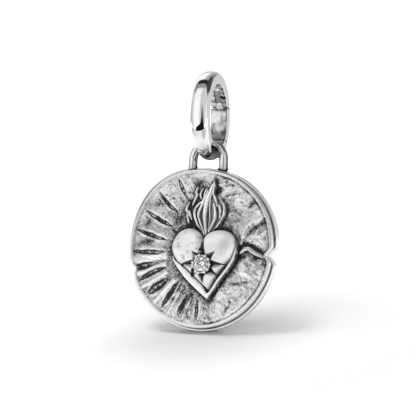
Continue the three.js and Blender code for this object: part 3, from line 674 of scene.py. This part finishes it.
bearing, distance, domeReach, frameReach = heartPlace(gridU, gridW)
domeShare = distance / domeReach
fieldMap, stainMap = castField(gridU, gridW)
wholeMap = np.where(insideOutline(gridU, gridW, flameEdge), flameRise(gridU, gridW), fieldMap)
inner = frameInside(bearing, domeReach, frameReach)
wall = np.maximum(frameRise(inner, frameReach, distance), 0.1)
wholeMap = np.where((distance > inner) & (distance < frameReach), wall, wholeMap)
wholeMap = np.where(domeShare < 1, domeRise(gridU, gridW, np.minimum(domeShare, 1)), wholeMap)
onCollet = np.hypot(gridU - heart["stone"][0], gridW - heart["stone"][1]) < heart["colletRadius"]
wholeMap = np.where(onCollet, heart["colletTop"], wholeMap)
beyond = np.hypot(gridU, gridW) > notched("rim", np.arctan2(gridW, gridU) / deg)
wholeMap = np.where(beyond, 0, wholeMap)
# black also gathers wherever a place lies below what surrounds it, at a fine and a broad scale
fineDepth = softened(wholeMap, 0.16) - wholeMap
lowered = np.clip(wholeMap, -0.5, 0.7)
broadDepth = np.clip(softened(lowered, 0.7) - lowered, -0.3, 0.6)
gathers = 0.75 - 0.4 * easedStep(0.3, 0.9, np.cos(bearing))
stainMap = stainMap + 2.0 * np.clip(fineDepth, -0.12, 0.3) + gathers * broadDepth
print("relief worked out")

# Face plate
facePlate = {"rings": 112, "edgeRound": 0.2}
rounding = facePlate["edgeRound"]
turn = fullTurn(medallion["around"])
reach = notched("face", turn)
shares = np.concatenate([np.linspace(0.03, 0.3, 9)[:-1], np.linspace(0.3, 1, facePlate["rings"])])
topU, topW = polar(shares[:, None] * (reach - rounding), turn)
topRise = sampled(fieldMap, topU, topW)
leans = (20, 40, 60, 80, 90)
profile = [(inset, topRise[-1] - drop, 0.05 * lean / 90 + 0.1 * lumps(turn * 0.17, 0, 0.8, 34))
           for lean, (inset, drop) in zip(leans, rounded(rounding, leans))]
floor = medallion["faceBack"]
profile += [(0, -0.62, 0.5), (0.05, -0.76, 1.0), (0.14, floor, hidden), (2, floor, hidden),
            (6, floor, hidden)]
parts = [(onMedallion(topU, topW, topRise), sampled(stainMap, topU, topW))]
parts += [(onMedallion(*polar(reach - inset, turn), h), value) for inset, h, value in profile]
makePiece("facePlateRelief", [stack(parts)], "charm", faceSilver, "face_plate", 60)

# Back plate: a plain disc with rounded edges, its flat back faintly uneven from the casting
backPlate = {"frontRound": 0.15, "backRound": 0.3, "rubbed": 0.12, "backStain": 0.3, "backRings": 60}
front, back, rubbed = medallion["backFrom"], medallion["backTo"], backPlate["rubbed"]
profile = [(7, front, hidden), (2, front, hidden), (0.6, front, hidden), (0.42, front, 1.1),
           (0.3, front, 0.75), (0.2, front - 0.01, 0.35)]
profile += [(inset, front - drop, rubbed)
            for inset, drop in rounded(backPlate["frontRound"], (0, 20, 40, 60, 80, 90))]
profile += [(inset, back + drop, rubbed)
            for inset, drop in rounded(backPlate["backRound"], (90, 75, 60, 45, 30, 15, 0))]
profile += [(inset, back, backPlate["backStain"]) for inset in np.linspace(0.45, 9.2, backPlate["backRings"])]
reach = notched("rim", turn)
parts = []
for inset, h, value in profile:
    u, w = polar(reach - inset, turn)
    wave = 0.012 * lumps(u, w, 2.2, 51) * (h <= back and inset > 0.5)
    strokes = 0.1 * lumps(u * 0.25 + w * 0.1, w * 1.6 - u * 0.6, 0.35, 53) * (h <= back)
    parts.append((onMedallion(u, w, h + np.abs(wave)), value + 0.08 * lumps(u, w, 1.4, 52) + strokes))
makePiece("backPlateDisc", [stack(parts)], "charm", burnishedSilver, "back_plate", 60)


def overBottom(u, w, rise, bottom, every, values):
    # a skin of rows across a shape's top, each closed by fewer points back along its flat bottom
    under = onMedallion(u[:, ::-every], w[:, ::-every], bottom)
    return stack([(np.concatenate([onMedallion(u, w, rise), under], 1),
                   np.concatenate([values, np.full(under.shape[:2], 1.1)], 1))])


# Heart dome: the outline shrunk towards the heart's middle, ring by ring
dome = {"rings": 96, "bottom": 0.05, "seatHeight": 1.0, "seatRoom": 0.05}
shares = np.concatenate([[1.0], 1 - np.linspace(0, 1, dome["rings"])[1:-1] ** 1.35])[:, None]
arms = domeOutline - heartMiddle
u, w = heartMiddle[0] + shares * arms[:, 0], heartMiddle[1] + shares * arms[:, 1]
rise = domeRise(u, w, shares + 0 * u)
seat = np.hypot(u - heart["stone"][0], w - heart["stone"][1]) < heart["colletRadius"] + dome["seatRoom"]
rise = np.where(seat, np.minimum(rise, dome["seatHeight"]), rise)
settled = np.clip(sampled(fineDepth, u, w), -0.05, 0.25) * easedStep(1, 0.9, shares)
# painted shade of the hammer dents: darker in the crescents and in patches of dents on the left lobe
dentShade = easedStep(-0.1, 0.7, lumps(u + 0.2 * w, w * 1.8, 0.62, 44)) * (0.35 + 0.65 * easedStep(1.6, 0.2, u))
hammerShade = 0.32 * hammerMarks(u, w) + 0.24 * dentShade * easedStep(-2.1, -1.4, w)
values = 2.6 * settled + 0.4 * bump(1 - shares, 0, 0.02) + starCuts(u, w)[1] + hammerShade
values = np.where(seat, 1.1, values)
foot = onMedallion(*domeOutline.T, dome["bottom"])
makePiece("heartDomeStarred", [stack([(foot, 1.1), (onMedallion(u, w, rise), values)])],
          "charm", satinSilver, "heart_dome", 50)

# Heart frame: a rounded wall from the heart's left shoulder down to the tip and up to the right shoulder
heartFrame = {"start": 168, "end": 390, "steps": 230, "across": 26, "leastWall": 0.03, "bottom": 0.05}
tip = np.array(heart["frame"][0][-1]) + motifShift - heartMiddle
tipBearing = math.atan2(tip[1], tip[0]) / deg % 360
bearings = np.concatenate([np.linspace(heartFrame["start"], tipBearing, heartFrame["steps"], endpoint=False),
                           np.linspace(tipBearing, heartFrame["end"], heartFrame["steps"])])[:, None]
bearing = wrapped(bearings) * deg
domeReach, frameReach = heartReach(bearing)
outer = np.maximum(frameReach, domeReach + heart["gap"] + heartFrame["leastWall"])
inner = np.minimum(frameInside(bearing, domeReach, outer), outer - heartFrame["leastWall"])
distance = inner + (outer - inner) * (0.5 - 0.5 * np.cos(np.linspace(0, math.pi, heartFrame["across"])))
rise = np.maximum(frameRise(inner, outer, distance), 0.06)
values = 0.8 * (1 - rise / heart["frameHeight"]) ** 4
u, w = polar(distance, bearings, heartMiddle)
makePiece("heartFrameBand", [overBottom(u, w, rise, heartFrame["bottom"], 5, values)],
          "charm", burnishedSilver, "heart_frame", 60)

# Flame: rows from its left edge to its right edge, from the tip down
left, right = (drawn(flame[side], flame["rows"])[:, None] for side in ("left", "right"))
across = np.linspace(0, 1, flame["across"])
u, w = (left[..., i] * (1 - across) + right[..., i] * across for i in (0, 1))
# what would lie under the heart is moved out to the heart's edge
bearing, distance, domeReach, frameReach = heartPlace(u, w)
clear = np.maximum(distance, domeReach + heart["gap"]) / np.maximum(distance, 1e-6)
u, w = heartMiddle[0] + (u - heartMiddle[0]) * clear, heartMiddle[1] + (w - heartMiddle[1]) * clear
edge = np.minimum(across, 1 - across) * np.hypot(*(right - left).T).T
rise = 0.05 + (flameRise(u, w) - 0.05) * np.clip(edge / 0.1, 0, 1) ** 0.5
settled = np.clip(sampled(fineDepth, u, w), -0.1, 0.3)
values = 0.57 - 2.1 * (rise - flame["sheet"]) / flame["height"] + 1.8 * settled
makePiece("flameRidged", [overBottom(u, w, rise, flame["bottom"], 12, values)],
          "charm", burnishedSilver, "flame", 60)

# Collet: a turned tube with grains round its rim
collet = {
    "rim": 1.8, "inner": 0.9, "grain": 0.2, "grains": 11, "around": 96,
    # radius, height and stain, from the drill hole out over the wall and back in over the seat
    "profile": [[0.3, 0.9, 1.1], [1.1, 0.9, 1.1], [1.16, 0.96, 1.1], [1.16, 1.3, 1.0], [1.14, 1.6, 0.7],
                [1.1, 1.66, 0.3], [0.98, 1.68, 0.2], [0.93, 1.66, 0.3], [0.91, 1.62, 0.5], [0.7, 1.46, 0.4],
                [0.45, 1.26, 0.5], [0.32, 1.14, 0.8], [0.3, 1.1, 1.0]],
}
radius, height, values = np.array(collet["profile"]).T[..., None]
tube = onMedallion(*polar(radius, fullTurn(collet["around"]), heart["stone"]), height)
skins = [stack([(tube, values)], bored=True)]
turn = fullTurn(collet["grains"])
turn = turn + 0.12 * np.sin(5 * turn * deg) / deg
for middle in np.stack(polar(collet["inner"] + collet["grain"], turn, heart["stone"]), -1):
    # a ball of 8 loops of 10 points, black at its foot
    lean = np.linspace(0.12, math.pi - 0.12, 8)[:, None]
    ball = onMedallion(*polar(collet["grain"] * np.sin(lean), fullTurn(10), middle),
                       collet["rim"] + collet["grain"] * np.cos(lean))
    skins.append(stack([(ball, np.linspace(-0.3, 1.2, 8)[:, None])]))
makePiece("stoneColletBeaded", skins, "charm", burnishedSilver, "stone_collet", 50)

# Stone: a round brilliant of 57 facets, the skin round the corners of its table, crown, girdle and pavilion
stone = {"radius": 0.9, "girdle": 1.75, "girdleThickness": 0.04, "crown": 0.288, "pavilion": 0.774}


def brilliant():
    # rings of corners as radius, height, count and first bearing: the table's 8, the crown's 8 between them,
    # 16 on each edge of the girdle, the pavilion's 8, and the culet
    r, girdle, thick, crown, pavilion = stone.values()
    rings = [(0.56 * r, crown, 8, 0), (0.8 * r, thick + 0.62 * (crown - thick), 8, 22.5), (r, thick, 16, 0),
             (r, 0, 16, 0), (0.22 * r, -0.81 * pavilion, 8, 22.5), (0.02, -pavilion, 8, 0)]
    shape = bmesh.new()
    for radius, height, count, start in rings:
        for corner in onMedallion(*polar(radius, start + fullTurn(count), heart["stone"]), girdle + height):
            shape.verts.new(corner)
    bmesh.ops.convex_hull(shape, input=shape.verts)
    bmesh.ops.dissolve_limit(shape, angle_limit=0.5 * deg, verts=shape.verts, edges=shape.edges)
    bmesh.ops.recalc_face_normals(shape, faces=shape.faces)
    mesh = bpy.data.meshes.new("stoneBrilliant")
    shape.to_mesh(mesh)
    shape.free()
    return mesh


addPiece(brilliant(), "charm", clearStone, "stone")

# Loop: a U of wire with a flare of solder at each foot
loop = {"radius": 2.085, "leg": 1.0, "width": 1.05, "depth": 1.25, "flare": 0.16, "flareHeight": 0.4,
        "middleH": -1.0, "around": 48, "archSteps": 72, "legSteps": 26}


def wireLoop():
    # an ellipse, squared up a little, carried up one leg, round the arch and down the other leg
    top = swollen("rim", 90)
    spring = top + loop["leg"]
    side, front = polar(1, fullTurn(loop["around"]))
    out, deep = (np.sign(place) * np.abs(place) ** 0.85 * size / 2
                 for place, size in ((side, loop["width"]), (front, loop["depth"])))
    # the wire's sides keep some of their black, its front and back are rubbed bright
    worn = 0.05 + 0.75 * np.abs(side) ** 8
    # the crown's inside rubs the ring: worn bright in its middle, dark beside it
    arch = np.linspace(0, 180, loop["archSteps"])[1:-1, None]
    archLoops = onMedallion(*polar(loop["radius"] + out, arch, (0, spring)), loop["middleH"] + deep)
    archValues = worn + 0.35 * (side < -0.3) * bump(arch, 90, 55)
    # the foot stands on the back plate's edge, and in front on the face plate's, which is lower
    plate = np.sqrt(np.maximum((top + 0.02) ** 2 - (loop["radius"] + out) ** 2, 0)) + 0.05
    foot = plate - (top - swollen("face", 90)) * easedStep(-0.86, -0.74, loop["middleH"] + deep)
    t = np.linspace(1, 0, loop["legSteps"])[:, None] ** 1.6
    w = foot + (spring - foot) * t
    spread = loop["flare"] * (1 - np.clip((w - foot) / loop["flareHeight"], 0, 1)) ** 2.2
    legU = loop["radius"] + out * (1 + spread / (loop["width"] / 2))
    legH = loop["middleH"] + deep * (1 + spread / (loop["depth"] / 2) * 0.3)
    legValues = worn + 1.2 * bump(w - foot, 0, 0.2) + 0.3 * bump(w - foot, 0, 0.7)
    # the two legs meet the arch at its ends: the right leg runs up, the left one down
    return stack([(onMedallion(legU, w, legH)[::-1], legValues[::-1]), (archLoops, archValues),
                  (onMedallion(-legU, w, legH), legValues)])


makePiece("charmLoopSoldered", [wireLoop()], "charm", loopSilver, "charm_loop", 60)

# Bail ring, drawn in its own plane: angles from the rear over the top to the front, distances across the band
ring = {
    "bore": 4.0, "outer": 5.65, "half": 1.1, "crown": 0.45, "corner": 0.14, "twist": 9.0, "middleZ": -4.0,
    "hinge": 27.0, "seam": -38.0, "clearance": 0.05, "knuckle": 0.6, "knuckleHalf": 0.45, "ear": 0.5,
    "earMiddle": 0.8, "earHalf": 0.28, "hole": 0.34, "saddleStart": 235.0, "saddleEnd": 300.0,
    "saddleHalf": 0.95, "saddleDepth": 1.5, "springEnd": 60.3, "springHalf": 0.35, "springOuter": 4.31,
    "gateCut": 19.3, "step": 1.2, "capSteps": 9,
}
pinCircle = (ring["bore"] + ring["outer"]) / 2
seamReach = math.sqrt(ring["bore"] ** 2 + pinCircle ** 2
                      - 2 * ring["bore"] * pinCircle * math.cos((ring["hinge"] - ring["seam"]) * deg))


def onRing(angle, radius, across):
    # polar place in the ring's plane, the plane then turned about the upright axis by the twist
    rear, up, across = np.broadcast_arrays(*polar(radius, angle, (0, ring["middleZ"])), across)
    c, s = math.cos(ring["twist"] * deg), math.sin(ring["twist"] * deg)
    return np.stack([across * c - rear * s, across * s + rear * c, up], -1) * mm


def crownRadius(across):
    # the band's outside: outer - crown * (0.35 s^2 + 0.65 s^4), s being the share of the way to its side
    share = across / ring["half"]
    return ring["outer"] - ring["crown"] * (0.35 * share ** 2 + 0.65 * share ** 4)


def bandSection():
    # the D of the band as radius and place across: its outside, a side, a rounded corner, the bore, and back
    bore, half, corner = ring["bore"], ring["half"], ring["corner"]
    across = half * np.sin(np.linspace(90, -90, 61) * deg)
    outside = np.stack([crownRadius(across), across], -1)
    side = np.stack([np.linspace(crownRadius(half) - 0.04, bore + corner, 9), np.full(9, -half)], -1)
    lean = np.array([22.5, 45, 67.5]) * deg
    turned = np.stack([bore + corner * (1 - np.sin(lean)), -half + corner * (1 - np.cos(lean))], -1)
    places = np.array([half - corner, 0.8, 0.6, 0.545, 0.515, 0.42, 0.385, 0.355, 0.2, 0.07])
    places = np.concatenate([-places, places[::-1]])
    inside = np.stack([np.full(len(places), bore), places], -1)
    return np.concatenate([outside, side, turned, inside, turned[::-1] * [1, -1], side[::-1] * [1, -1]])


band = bandSection()
bandRadius, bandAcross = band.T
onBore = np.abs(bandRadius - ring["bore"]) < 0.02


def pinArc(radius, reach):
    # the angle between the pin and the place on this radius that lies a given reach from the pin
    cosine = (radius ** 2 + pinCircle ** 2 - reach ** 2) / (2 * radius * pinCircle)
    return np.where(np.abs(cosine) < 1, np.arccos(np.clip(cosine, -1, 1)) / deg, 0)


def bodyHingeEnd(radius, across):
    # the body stops at the hinge line, and further back where the gate's knuckle turns between the ears
    room = pinArc(radius, ring["knuckle"] + ring["clearance"])
    line = ring["hinge"] + ring["clearance"] / pinCircle / deg
    atKnuckle = np.abs(across) < ring["knuckleHalf"] + ring["clearance"]
    return np.where(atKnuckle, np.maximum(line, ring["hinge"] + room), line)


def bodySeamEnd(radius, across):
    # the nose ends on an arc about the pin, just clear of the gate's
    return 360 + ring["hinge"] - pinArc(radius, seamReach + ring["clearance"])


def gateSeamEnd(radius, across):
    # the gate ends on an arc about the pin, so that it passes the nose as it turns
    return ring["hinge"] - pinArc(radius, seamReach)


def gateHingeEnd(radius, across):
    # the gate starts at the hinge line, further down where an ear turns past it, and on the bore side on a
    # line from the pin to the gate's cut, so that it can swing in
    room = pinArc(radius, ring["knuckle"] + ring["clearance"]) * (np.abs(across) > ring["knuckleHalf"])
    drop = np.maximum(pinCircle - radius, 0) * (ring["hinge"] - ring["gateCut"]) / (pinCircle - ring["bore"])
    return ring["hinge"] - np.maximum(room, drop)


def cappedEnd(endAngle):
    # loops that close an end: the section shrunk towards its middle, each point on the end's own surface
    middle = np.array([pinCircle - 0.05, 0])
    shares = np.linspace(0.97, 0.06, ring["capSteps"])[:, None, None]
    radius, across = np.moveaxis(middle + (band - middle) * shares, -1, 0)
    return onRing(endAngle(radius, across), radius, across)


def saddleSection():
    # an oval with the band's points at the same bearings from the oval's middle
    depth, half = ring["saddleDepth"] / 2, ring["saddleHalf"]
    middle = ring["bore"] + depth
    bearing = np.arctan2(bandAcross / half, (bandRadius - middle) / depth)
    return np.stack([middle + depth * np.cos(bearing), half * np.sin(bearing)], -1)


def bailBody():
    # the band from the hinge over the top to the saddle, the saddle, and the nose up to the seam
    start, end = ring["saddleStart"], ring["saddleEnd"]
    hingeAngle = bodyHingeEnd(bandRadius, bandAcross)
    t = np.linspace(0.01, 1, int((start - ring["hinge"]) / ring["step"]))
    angles = hingeAngle + (start - hingeAngle) * np.concatenate([[0, 0.0015, 0.004], t])[:, None]
    # the spring's pocket: the bore drops to the pocket's floor over the spring's width and length
    overSpring = onBore & (np.abs(bandAcross) < ring["springHalf"] + 0.012)
    radii = np.where(overSpring & (angles < ring["springEnd"]), ring["springOuter"], bandRadius)
    # the casting's ribs across the bore between the hinge and the top
    ribs = np.sin(angles * 2 * math.pi / 12.5 + 1.6 * bandAcross) * plateau(29, 34, 62, 74, angles)
    rough = 0.006 * lumps(angles * 0.07, bandAcross, 0.35, 61) - 0.025 * ribs
    inBore = 0.36 - 0.28 * ribs + 0.45 * lumps(angles * 0.07, bandAcross, 0.5, 62)
    inBore = inBore + 0.15 * bump(angles, ring["hinge"], 1.5) + 0.2 * bump(angles, 34, 16)
    parts = [(cappedEnd(bodyHingeEnd)[::-1], 0.25),
             (onRing(angles, radii + rough * onBore, bandAcross),
              inBore * onBore + 0.8 * bump(angles, start, 0.7))]

    # the step between band and saddle, from one's outline to the other's
    saddle = saddleSection()
    middle = np.array([4.8, 0])
    share = np.array([0.995, 0.5, 0])[:, None, None]
    stepRadius, stepAcross = np.moveaxis(saddle + (middle + (band - middle) * 0.985 - saddle) * share, -1, 0)
    span = np.linspace(start + 0.4, end - 0.4, 60)[:, None]
    cast = 0.035 * lumps(span * 0.09, saddle[:, 1] * 1.2 + saddle[:, 0], 0.3, 63)
    cast = cast * (1 - 0.7 * bump(span, 268, 14))
    outwards = saddle - np.array([4.75, 0])
    outwards = outwards / np.linalg.norm(outwards, axis=1)[:, None]
    saddleLoops = onRing(span, saddle[:, 0] + (cast - 0.035) * outwards[:, 0],
                         saddle[:, 1] + (cast - 0.035) * outwards[:, 1])
    # a pad on the saddle's front is worn bright, with a dark line at its end
    pad = plateau(236.5, 238, 249, 251, span)
    parts += [(onRing(start, stepRadius, stepAcross), 1.0),
              (saddleLoops, 0.95 - 12 * cast + 0.4 * bump(span, 251, 1.6) - 0.95 * pad),
              (onRing(end, stepRadius[::-1], stepAcross[::-1]), 1.0)]

    t = np.linspace(0, 1, 24)[:, None]
    angles = end + (bodySeamEnd(bandRadius, bandAcross) - end) * t
    nose = 0.45 * onBore + 0.7 * bump(t, 1, 0.05) + 0.7 * bump(t, 0, 0.03)
    parts += [(onRing(angles, bandRadius, bandAcross), nose), (cappedEnd(bodySeamEnd), 1.0)]
    return stack(parts)


def barrel(start, end, outerRadius):
    # a knuckle: a tube round the pin's axis, its rims eased, between two places across the band, kept under
    # the band's outside
    ease, hole, length = 0.05, ring["hole"], end - start
    profile = [(hole, 0.02), (hole + 0.03, 0), (outerRadius - ease, 0), (outerRadius, ease / length)]
    profile += [(r, 1 - t) for r, t in profile[::-1]]
    r, t = np.array(profile).T[..., None]
    rear, up = polar(r, fullTurn(48), polar(pinCircle, ring["hinge"]))
    across = start + length * t
    radius = np.minimum(np.hypot(rear, up), crownRadius(across) - 0.04)
    return stack([(onRing(np.arctan2(up, rear) / deg, radius, across), 0.12)], bored=True)


ears = [barrel(middle - ring["earHalf"], middle + ring["earHalf"], ring["ear"])
        for middle in (ring["earMiddle"], -ring["earMiddle"])]
makePiece("bailBodyPolished", [bailBody()] + ears, "bail", ringSilver, "bail_body", 32)


def bailGate():
    # the band from its hinge end to the seam, with ends cut to their own surfaces
    start, end = gateHingeEnd(bandRadius, bandAcross), gateSeamEnd(bandRadius, bandAcross)
    t = np.concatenate([[0, 0.01, 0.025], np.linspace(0.05, 0.975, 44), [0.99, 1]])[:, None]
    angles = start + (end - start) * t
    broad, fine = angles * 0.07, angles * 0.03
    rough = 0.008 * lumps(broad, bandAcross, 0.4, 64) + 0.003 * lumps(fine, bandAcross, 0.07, 66)
    inBore = 0.34 + 0.25 * lumps(broad, bandAcross, 0.6, 65) + 0.22 * lumps(fine, bandAcross, 0.1, 67)
    inBore = inBore + 0.5 * bump(angles, -22, 7) + 0.1 * bump(t, 0, 0.02)
    return stack([(cappedEnd(gateHingeEnd)[::-1], 0.25),
                  (onRing(angles, bandRadius + rough * onBore, bandAcross),
                   inBore * onBore + 0.5 * bump(t, 1, 0.015)),
                  (cappedEnd(gateSeamEnd), 1.0)])


knuckle = barrel(-ring["knuckleHalf"], ring["knuckleHalf"], ring["knuckle"])
makePiece("bailGatePolished", [bailGate(), knuckle], "gate", ringSilver, "bail_gate", 32)

for name, material in (("hinge_pin", ringSilver), ("gate_spring", springSteel)):
    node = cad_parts[name]
    node.data.materials.clear()
    node.data.materials.append(material)
print("all pieces made")

# Studio: the medallion leans back on a pale floor, so in its own frame the floor rises to the rear
studio = {
    "azimuth": 25.0, "elevation": -5.0, "roll": 2.8, "lens": 150.0, "sensor": 36.0, "pixelsPerMm": 8.1,
    "aimAt": (0.0, 0.0, -20.552), "aimPixel": (204.05, 249.2), "side": 416, "floorTilt": 20.0,
    "floorHalf": 1500.0, "floorUnder": 0.1, "lowest": -30.75, "glowPastContactShadow": 0.22, "glowFar": 0.55,
}


def facing(azimuth, elevation):
    # right, up and back of what looks at the charm from this azimuth and elevation
    a, e = azimuth * deg, elevation * deg
    back = np.array([math.sin(a) * math.cos(e), -math.cos(a) * math.cos(e), math.sin(e)])
    level = np.array([math.cos(a), math.sin(a), 0])
    return level, np.cross(back, level), back


def setAt(thing, axes, place):
    # turns a thing so that its own X, Y and Z lie along the three axes, and puts it at its place
    rows = [[*row, place[i]] for i, row in enumerate(np.stack(axes, 1).tolist())]
    thing.matrix_world = Matrix([*rows, [0, 0, 0, 1]])


def placeCamera():
    # turned about its line of sight by the roll, and aimed so that the aim's pixel shows the aim
    level, upright, back = facing(studio["azimuth"], studio["elevation"])
    c, s = math.cos(studio["roll"] * deg), math.sin(studio["roll"] * deg)
    right, up = level * c + upright * s, upright * c - level * s
    scale, half = studio["pixelsPerMm"], studio["side"] / 2
    distance = studio["side"] / scale * studio["lens"] / studio["sensor"]
    target = np.array(studio["aimAt"]) + right * (half - studio["aimPixel"][0]) / scale
    target = target - up * (half - studio["aimPixel"][1]) / scale
    data = bpy.data.cameras.new("camera")
    data.lens = studio["lens"]
    data.sensor_width = studio["sensor"]
    data.clip_start = 0.01
    data.clip_end = 20
    camera = newObject("camera", data)
    setAt(camera, [right, up, back], (target + back * distance) * mm)
    bpy.context.scene.camera = camera


placeCamera()


def seenDirectly(tree):
    # 1 for camera, mirror and glass rays, 0 for the light that falls on matt things
    path = addNode(tree, "ShaderNodeLightPath").node.outputs
    either = compute(tree, "MAXIMUM", path["Is Camera Ray"], path["Is Glossy Ray"])
    return compute(tree, "MAXIMUM", either, path["Is Transmission Ray"])


def mixed(tree, share, first, second):
    # the first shader where the share is 0, the second where it is 1
    return addNode(tree, "ShaderNodeMixShader", {0: share, 1: first, 2: second})


def mattBoard(tree):
    # Matt white board. Where it is seen directly, a glow on top of its own shade makes up for the lamps'
    # falling light, the more the further away from the charm it lies; close round the charm's foot the glow
    # fades out, which paints a soft shadow there.
    shade = addNode(tree, "ShaderNodeBsdfDiffuse", {"Color": linear("#ececec")})
    away = addNode(tree, "ShaderNodeVectorMath", {0: objectPlace(tree), 1: (0, 0, studio["lowest"] * mm)},
                   {"operation": "DISTANCE"}, "Value")
    # painted shadow: the glow falls from its level at 17 mm to nothing at 2 mm from the charm's lowest point
    glow = compute(tree, "ADD", mapped(tree, away, 0.0, studio["glowPastContactShadow"], 2 * mm, 17 * mm, "SMOOTHSTEP"),
                   mapped(tree, away, 0.0, studio["glowFar"], 25 * mm, 110 * mm, "SMOOTHSTEP"))
    glowing = addNode(tree, "ShaderNodeEmission", {"Strength": glow})
    both = addNode(tree, "ShaderNodeAddShader", {0: shade, 1: glowing})
    board = mixed(tree, seenDirectly(tree), shade, both)
    # the board rises behind the charm, so its underside is clear and the charm's back can be looked at
    below = addNode(tree, "ShaderNodeNewGeometry", output="Backfacing")
    return mixed(tree, below, board, addNode(tree, "ShaderNodeBsdfTransparent"))


def paleFloor():
    # a square board that rises to the rear by its tilt and passes just under the charm
    size = studio["floorHalf"]
    alongY = np.array([0, *polar(1, studio["floorTilt"])])
    corners = [[x, 0, studio["lowest"] - studio["floorUnder"]] + alongY * y
               for x, y in ((-size, -size), (size, -size), (size, size), (-size, size))]
    mesh = bpy.data.meshes.new("floorBoard")
    mesh.from_pydata([(corner * mm).tolist() for corner in corners], [], [(0, 1, 2, 3)])
    mesh.materials.append(newMaterial("boardMattWhite", mattBoard))
    floor = newObject("floorBoard", mesh)


paleFloor()


def bentCard(name, left, right, over, distance, middle, glow,
             rays=("camera", "diffuse", "shadow", "transmission")):
    # Part of a ball round the ring, or nearly. Its rows rise over the front and to the rear, between two
    # bearings in degrees, and each row runs from its left to its right edge. Distance is from the ball's
    # middle in millimetres and glow the sheet's own brightness. Any of these may be worked out from the row's
    # bearing, and the glow from both angles. The rays named don't see the card: it is only seen in silver or
    # in the stone, as a studio's sheets and cards are.
    columns, rows = 121, 161
    share, theta = np.meshgrid(np.linspace(0, 1, columns), np.linspace(*over, rows))
    left, right, distance = (value(theta) if callable(value) else value for value in (left, right, distance))
    psi = left + (right - left) * share
    reach, upright = np.cos(psi * deg), np.sin(theta * deg)
    points = np.stack([np.sin(psi * deg), -reach * np.cos(theta * deg), reach * upright], -1)
    points = points * np.asarray(distance + 0 * psi)[..., None] + np.array(middle)
    first = (np.arange(rows - 1)[:, None] * columns + np.arange(columns - 1)).reshape(-1)
    faces = np.stack([first, first + 1, first + columns + 1, first + columns], -1).tolist()
    mesh = newMesh(name, points.reshape(-1, 3) * mm, faces, "glow", glow(psi, theta).reshape(-1))
    mesh.materials.append(newMaterial(name, lambda tree: addNode(
        tree, "ShaderNodeEmission", {"Strength": pointValue(tree, "glow")})))
    card = newObject(name, mesh)
    for ray in rays:
        setattr(card, "visible_" + ray, False)


# sheets of the tent, each over the ones before: left, right, low, high, soft edge in degrees, brightness
tent = [
    [-120, 120, -60, 220, 1, 0.66], [-120, -6, 138, 220, 6, 0.8], [-120, -30, 152, 220, 4, 0.42],
    [-16, -1, 152, 220, 3, 0.42], [-12, 60, 114, 148, 6, 0.5], [4, 45, 104, 144, 8, 0.27],
    [-120, -12, 92, 124, 4, 1.08], [-10, 8, 90, 112, 6, 0.42], [8, 52, 72, 120, 6, 0.06],
    [-64, -26, 73, 93, 5, 0.42], [-30, 14, 76, 92, 3, 0.02], [-62, -33, -50, 70, 4, 0.7],
    [-120, -62, -50, 70, 6, 0.48], [-36, 0, -60, 40, 3, 1.06], [-34, -3, 30, 64, 5, 1.0],
    [-34, 8, 65, 76, 4, 0.3], [-43, -27, 58, 92, 5, 0.22], [2, 12, -60, 60, 2, 0.62],
    [38, 60, -60, 66, 6, 0.66], [60, 120, -60, 66, 6, 0.92],
]


def tentGlow(psi, theta):
    # every sheet pulls the brightness to its own by its share, an eased step over each of its edges
    level = np.zeros(np.shape(psi))
    for left, right, low, high, soft, brightness in tent:
        share = plateau(left - soft, left + soft, right - soft, right + soft, psi)
        share = share * plateau(low - soft, low + soft, high - soft, high + soft, theta)
        level = level + (brightness - level) * share
    return level


bentCard("tentSheets", -89, 89, (-33, 186), lambda theta: 75 - 25 * easedStep(135, 160, theta),
         [0, 0, -8], tentGlow)
# a black card close in front of the ring, much wider at its foot, with two grey ones under it
bentCard("cardBlackNear", lambda theta: 14 - 6 * easedStep(0, -18, theta) - 24 * easedStep(-15, -32, theta),
         39, (-36.5, 22), 24, [0, 0, -6],
         lambda psi, theta: 0.01 + 0.5 * easedStep(22, 38, psi + 0.4 * (theta + 8))
         + 0.2 * easedStep(8, 22, theta))
bentCard("cardGreyLow", 0, 62, (-62, -37), 24.2, [0, 0, -6],
         lambda psi, theta: 0.9 - 0.34 * easedStep(0, 18, psi) + 0.2 * easedStep(30, 60, psi)
         + 0.12 * easedStep(-52, -62, theta))
bentCard("cardGreyLeft", -75, 0, (-62, -31), 24.2, [0, 0, -6],
         lambda psi, theta: 1.02 - (0.12 + 0.08 * easedStep(-2, -14, psi) + 0.3 * easedStep(-20, -50, psi))
         * easedStep(-60, -44, theta))
# white and black patches close round the stone, which only its facets pass on, for their sparkle
bentCard("cardsForStone", -84, 84, (-84, 84), 12, [0.95, -2.8, -22.6],
         lambda psi, theta: 0.03 + 1.5 * easedStep(-0.05, 0.1, lumps(psi, theta, 17, 71)),
         ("camera", "diffuse", "shadow", "glossy"))


def softLight(name, azimuth, elevation, distance, size, radiance):
    # a square lamp that faces the charm; watts = radiance * pi * its area
    level, upright, back = facing(azimuth, elevation)
    data = bpy.data.lights.new(name, "AREA")
    data.shape = "RECTANGLE"
    data.size = data.size_y = size * mm
    data.energy = radiance * math.pi * (size * mm) ** 2
    lamp = newObject(name, data)
    lamp.visible_glossy = False
    setAt(lamp, [level, upright, back], (np.array([0, 0, -20.0]) + back * distance) * mm)


softLight("keyUpperLeft", -52, 64, 220, 80, 10)


def whiteRoom(tree):
    # plain light all round, and white where it is seen directly
    room, white = (addNode(tree, "ShaderNodeBackground", {"Color": linear("#ffffff"), "Strength": strength})
                   for strength in (0.62, 1.0))
    return mixed(tree, seenDirectly(tree), room, white)


world = bpy.data.worlds.new("whiteStudio")
bpy.context.scene.world = world
fillTree(world, "ShaderNodeOutputWorld", whiteRoom)
bpy.context.scene.view_settings.view_transform = "Standard"
print("studio set")
